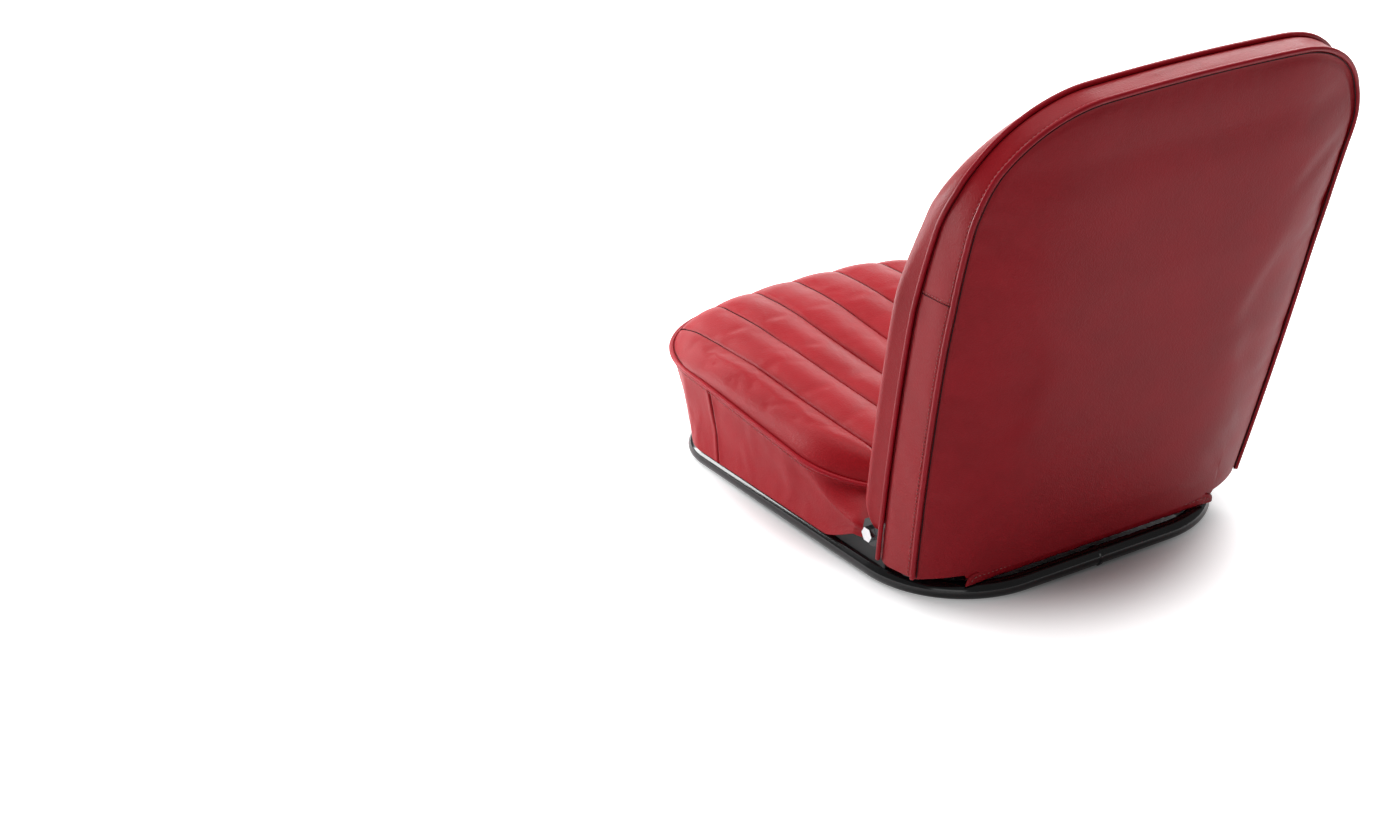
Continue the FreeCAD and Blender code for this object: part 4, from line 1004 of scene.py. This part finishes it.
def hem_piece():
    """The turned hem that follows the arch under the rear cover."""
    half, top, corner = ARCH_HALF - 1.2, ARCH_TOP, ARCH_BEND
    left = np.c_[np.full(12, half), np.linspace(-13.0, top - corner, 12)]
    bend = arc(half - corner, top - corner, corner, 0, 90, 12)
    right = (np.vstack([left, bend]) * (-1, 1))[::-1]
    line = along(np.vstack([left, bend[1:], right]), 260)
    tangent = unit(np.gradient(line, axis=0))
    inward = np.c_[-tangent[:, 1], tangent[:, 0]]
    if inward[130, 1] > 0:
        inward = -inward
    n = len(line)
    u = np.linspace(0, 30, n)
    profile = [(0.0, 95.2), (-1.5, 97.4), (1.5, 97.9), (6.0, 97.4), (11.0, 97.2), (13.6, 96.6),
               (14.2, 95.2), (13.4, 94.0), (9.0, 93.9), (3.0, 94.1)]
    rows = []
    for inset, deep in profile:
        ripple = 0.5 * soft_noise(u * 0.4, np.full(n, inset * 0.05), 47)
        spot = line + inward * inset
        point = back_place(spot[:, 0], np.full(n, deep - 1.6) + ripple, spot[:, 1])
        point[:, 2] = np.maximum(point[:, 2], HEM_CLEAR)
        rows.append(point)
    thing = sheet_mesh("backrest_hem_flap", np.array(rows), RED_SHADED, wrap_rows=True)
    stitch = line + inward * 4.4
    sewn = back_place(stitch[:, 0], np.full(n, 97.0 - 1.0), stitch[:, 1])
    ahead = np.broadcast_to(np.array([0, math.cos(LEAN), -math.sin(LEAN)]), sewn.shape)
    keep = sewn[:, 2] > HEM_CLEAR + 2
    threads = stitches("backrest_hem_stitches", [(sewn[keep], ahead[keep])], THREAD, 5.4, 3.6, 0.5)
    return thing, threads


def webbing_piece():
    """The flat straps across the hoop, sagging slightly forward."""
    points, faces = [], []
    for i in range(4):
        base = 95.0 + 105.0 * i
        cols, rows = 41, 9
        half = 190.0 + (6.0 if i > 1 else 0.0)
        start = len(points)
        for side_of in (0, 1):
            for r in range(rows):
                for c in range(cols):
                    x = -half + 2 * half * c / (cols - 1)
                    s = base + 50.0 * r / (rows - 1)
                    sag = 3.0 * (1 - (x / half) ** 2) + 0.5 * math.sin(r * 1.1 + c * 0.35)
                    d = 50.0 + 9.0 + sag + 1.6 * side_of
                    points.append((x, PIVOT_Y + d * math.cos(FRAME_LEAN) + s * math.sin(FRAME_LEAN),
                                   PIVOT_Z - d * math.sin(FRAME_LEAN) + s * math.cos(FRAME_LEAN)))
        layer = rows * cols
        for f in grid_faces(rows, cols):
            faces.append(tuple(start + k for k in f))
            faces.append(tuple(start + layer + k for k in reversed(f)))
        rim = [(0, c) for c in range(cols)] + [(r, cols - 1) for r in range(1, rows)]
        rim += [(rows - 1, c) for c in reversed(range(cols - 1))]
        rim += [(r, 0) for r in reversed(range(1, rows - 1))]
        ids = [r * cols + c for r, c in rim]
        for k, a in enumerate(ids):
            b = ids[(k + 1) % len(ids)]
            faces.append((start + b, start + a, start + a + layer, start + b + layer))
    return new_mesh("backrest_webbing_straps", points, faces, TAPE)


def foot_fold(sign):
    """The cover's folded end under one leg: a pleated flap that closes the foot."""
    cols, rows = 40, 22
    grid = np.zeros((rows, cols, 3))
    outer = half_width_at(FOOT) - 0.8
    for c in range(cols):
        x = ARCH_HALF + 0.4 + (outer - ARCH_HALF - 0.4) * c / (cols - 1)
        rear = float(rear_depth(np.array(min(x / outer, 1.0)))) - 0.6
        for r in range(rows):
            v = r / (rows - 1)
            depth = FRONT_SEAM + 1.0 + (rear - FRONT_SEAM - 1.0) * v
            base = (foot_height(depth) - PIVOT_Z + depth * math.sin(LEAN)) / math.cos(LEAN)
            u = c / (cols - 1)
            pleat = 1.3 * math.sin(u * 10.5 + 2.1 * v) * math.sin(math.pi * v)
            dome = 3.0 * math.sin(math.pi * u) ** 0.5 * math.sin(math.pi * v) ** 0.5
            grid[r, c] = (sign * x, depth, base + 0.4 + max(pleat + dome, 0))
    place = back_place(grid[..., 0], grid[..., 1], grid[..., 2])
    side = "left" if sign > 0 else "right"
    return sheet_mesh(f"{side}_leg_cover_fold", place, RED_SHADED, flip=sign > 0)


# Build the pieces

def dress(thing, body, slot, *stands_for, fill=None):
    """Gives a piece its body and hides the nodes it stands for; the slot and fill arguments are not used.
    """
    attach(thing, body)
    if stands_for:
        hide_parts(*stands_for)


dress(cushion_top_piece(), "base", "red_vinyl", "cushion_top_panel", "cushion_foam", fill=0.8)
dress(cushion_boxing_piece(), "base", "red_vinyl", "cushion_boxing", fill=0.8)

path = along(ring_path(PIPING_OUT, -0.6)[0], 460, closed=True)
dress(tube("cushion_piping_cord", path, PIPING_R, PIPING, 12, True), "base", "red_piping", "cushion_piping")

# The near-black channel and joint cords are painted shade in the creases; the boxing stitches are real
# thread.
for name, runs, material, pitch, length, radius in (
        ("cushion_boxing_stitches", [ring_path(0.3, 6.8)], THREAD, 5.0, 3.1, 0.42),
        ("cushion_channel_shade_lines", channel_runs(), SEAM_SHADE, 3.3, 3.25, 0.85),
        ("cushion_boxing_joint_shade_lines", welt_runs(), SEAM_SHADE, 3.0, 2.95, 1.0)):
    dress(stitches(name, runs, material, pitch, length, radius), "base", "red_piping")

front_cover, tuck_cover = front_piece()
dress(front_cover, "backrest", "red_vinyl", "backrest_front_panel", "backrest_foam", fill=0.8)
dress(tuck_cover, "backrest", "red_vinyl", fill=0.8)
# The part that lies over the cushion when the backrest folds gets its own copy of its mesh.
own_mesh(tuck_cover)

dress(rear_piece(), "backrest", "red_vinyl", "backrest_rear_panel", fill=0.7)
dress(band_piece(), "backrest", "red_vinyl", "backrest_side_band", fill=0.6)

# A near-black cord between the cushion's piping and its top, and one beside each backrest piping, are
# painted shade in the seams.
path = along(ring_path(-1.6, -2.3)[0], 460, closed=True)
dress(tube("cushion_top_seam_thread", path, 0.55, SEAM_SHADE, 6, True), "base", "red_piping")
for label, depth, out in (("front", FRONT_SEAM + 3.3, -0.3), ("rear", REAR_SEAM + 1.6, -2.0)):
    path = outline_path(depth, out)[0]
    dress(tube(f"backrest_{label}_seam_shade_line", path, 0.6, SEAM_SHADE, 6), "backrest", "red_piping")
for label, depth in (("front", FRONT_SEAM), ("rear", REAR_SEAM)):
    cord = tube(f"backrest_{label}_piping_cord", outline_path(depth, PIPING_OUT)[0], PIPING_R, PIPING)
    dress(cord, "backrest", "red_piping", f"backrest_{label}_piping")

# The near-black channel and band-joint cords are painted shade in the creases; the other rows are real
# thread.
for name, runs, material, pitch, length, radius in (
        ("backrest_band_stitches", [outline_path(REAR_SEAM - 5.6, 1.1)], THREAD, 5.0, 3.1, 0.42),
        ("backrest_channel_shade_lines", facing_runs(), SEAM_SHADE, 3.3, 3.25, 0.85),
        ("backrest_band_joint_shade_lines", band_joint(0.0), SEAM_SHADE, 2.4, 2.3, 0.55),
        ("backrest_band_joint_stitches", band_joint(0.15, 2.6), THREAD, 4.4, 2.8, 0.4)):
    dress(stitches(name, runs, material, pitch, length, radius), "backrest", "red_piping")

hem_flap, hem_threads = hem_piece()
dress(hem_flap, "backrest", "red_vinyl", "backrest_hem", fill=0.4)
dress(hem_threads, "backrest", "red_piping")
dress(webbing_piece(), "backrest", "foam", "backrest_webbing")
for sign in (1, -1):
    dress(foot_fold(sign), "backrest", "red_vinyl", fill=0.3)

finishes = {
    "base_tube": ENAMEL, "base_tube_weld": ENAMEL, "runner": ZINC, "pivot_bracket": SATIN,
    "pivot_bolt": CHROME, "spacer_washer": ZINC, "nut_washer": ZINC, "pivot_nut": ZINC,
    "cushion_board": PLYWOOD, "backrest_hoop": ENAMEL, "backrest_cross_tube": ENAMEL,
    "hinge_lug": ENAMEL, "leg_plug": RUBBER, "hem_clip": SPRING,
}
for name, thing in nodes.items():
    for part_name, finish in finishes.items():
        if name.endswith(part_name):
            thing.data.materials.clear()
            thing.data.materials.append(finish)

# Stage, light and camera

floor = bpy.data.meshes.new("floor")
floor.from_pydata([(-12, -12, 0), (12, -12, 0), (12, 12, 0), (-12, 12, 0)], [], [(0, 1, 2, 3)])
floor_piece = bpy.data.objects.new("floor", floor)
scene.collection.objects.link(floor_piece)
floor_material, tree, main = shader("floor_paper")
main.inputs["Base Color"].default_value = (0.86, 0.865, 0.875, 1)
main.inputs["Roughness"].default_value = 0.9
main.inputs["Specular IOR Level"].default_value = 0.15
glow = node(tree, "ShaderNodeEmission")
glow.inputs["Color"].default_value = (1, 1, 1, 1)
paths = node(tree, "ShaderNodeLightPath")
# Painted shade: the floor's glow is held back under and close round the seat and rises with distance from
# it, so the floor near and under the seat is painted darker.
shrink = node(tree, "ShaderNodeMapping")
shrink.inputs["Scale"].default_value = (1.25, 1.0, 1.0)
tree.links.new(node(tree, "ShaderNodeTexCoord").outputs["Object"], shrink.inputs["Vector"])
away = node(tree, "ShaderNodeVectorMath", operation="LENGTH")
tree.links.new(shrink.outputs["Vector"], away.inputs[0])
clear = node(tree, "ShaderNodeMapRange", interpolation_type="SMOOTHSTEP")
for key, value in (("From Min", 0.24), ("From Max", 0.40), ("To Min", 0.0), ("To Max", 0.9)):
    clear.inputs[key].default_value = value
tree.links.new(away.outputs["Value"], clear.inputs["Value"])
seen = node(tree, "ShaderNodeMath", operation="MULTIPLY")
tree.links.new(clear.outputs["Result"], seen.inputs[1])
mirrored = node(tree, "ShaderNodeMath", operation="MULTIPLY_ADD")
mirrored.inputs[1].default_value = 0.55
tree.links.new(paths.outputs["Is Glossy Ray"], mirrored.inputs[0])
tree.links.new(paths.outputs["Is Camera Ray"], mirrored.inputs[2])
tree.links.new(mirrored.outputs["Value"], seen.inputs[0])
tree.links.new(seen.outputs["Value"], glow.inputs["Strength"])
total = node(tree, "ShaderNodeAddShader")
tree.links.new(main.outputs["BSDF"], total.inputs[0])
tree.links.new(glow.outputs["Emission"], total.inputs[1])
tree.links.new(total.outputs["Shader"], tree.nodes["Material Output"].inputs["Surface"])
floor.materials.append(floor_material)

world = bpy.data.worlds.new("studio")
scene.world = world
world.use_nodes = True
sky = world.node_tree.nodes["Background"]
sky.inputs["Color"].default_value = (1.0, 1.0, 1.0, 1)
paths = node(world.node_tree, "ShaderNodeLightPath")
shine = node(world.node_tree, "ShaderNodeMapRange")
shine.inputs["To Min"].default_value = 0.14
shine.inputs["To Max"].default_value = 0.22
world.node_tree.links.new(paths.outputs["Is Glossy Ray"], shine.inputs["Value"])
level = node(world.node_tree, "ShaderNodeMapRange")
level.inputs["To Max"].default_value = 1.0
world.node_tree.links.new(paths.outputs["Is Camera Ray"], level.inputs["Value"])
world.node_tree.links.new(shine.outputs["Result"], level.inputs["To Min"])
world.node_tree.links.new(level.outputs["Result"], sky.inputs["Strength"])


def lamp(name, place, target, size, power, colour=(1, 1, 1)):
    data = bpy.data.lights.new(name, "AREA")
    data.shape = "RECTANGLE"
    data.size, data.size_y = size
    data.energy = power
    data.color = colour
    thing = bpy.data.objects.new(name, data)
    thing.location = place
    thing.rotation_euler = (Vector(target) - Vector(place)).to_track_quat("-Z", "Y").to_euler()
    scene.collection.objects.link(thing)


lamp("softbox_far", (-2.3, -1.1, 2.1), (0.0, 0.0, 0.3), (1.7, 1.3), 66)
lamp("softbox_left", (0.62, -0.85, 0.3), (0.15, -0.3, 0.08), (0.4, 0.35), 6.5)
lamp("softbox_low", (-1.7, -2.0, 0.4), (0.0, 0.0, 0.4), (2.0, 0.7), 14)
lamp("softbox_front", (0.3, -2.8, 1.6), (0.0, 0.0, 0.2), (2.2, 1.4), 42)
lamp("softbox_top", (0.2, -0.3, 2.8), (0.0, 0.0, 0.2), (2.0, 2.0), 40)
lamp("softbox_fill", (2.3, 2.4, 0.8), (0.0, 0.2, 0.25), (1.8, 1.2), 9)

camera_data = bpy.data.cameras.new("camera")
camera_data.lens = 77.14
camera_data.sensor_width = 36.0
camera = bpy.data.objects.new("camera", camera_data)
camera.location = (1.8512, 2.2556, 1.4891)
view_way = Vector((-0.502, -0.7453, -0.4388))
camera.rotation_euler = view_way.to_track_quat("-Z", "Y").to_euler()
scene.collection.objects.link(camera)
scene.camera = camera
scene.view_settings.view_transform = "Standard"
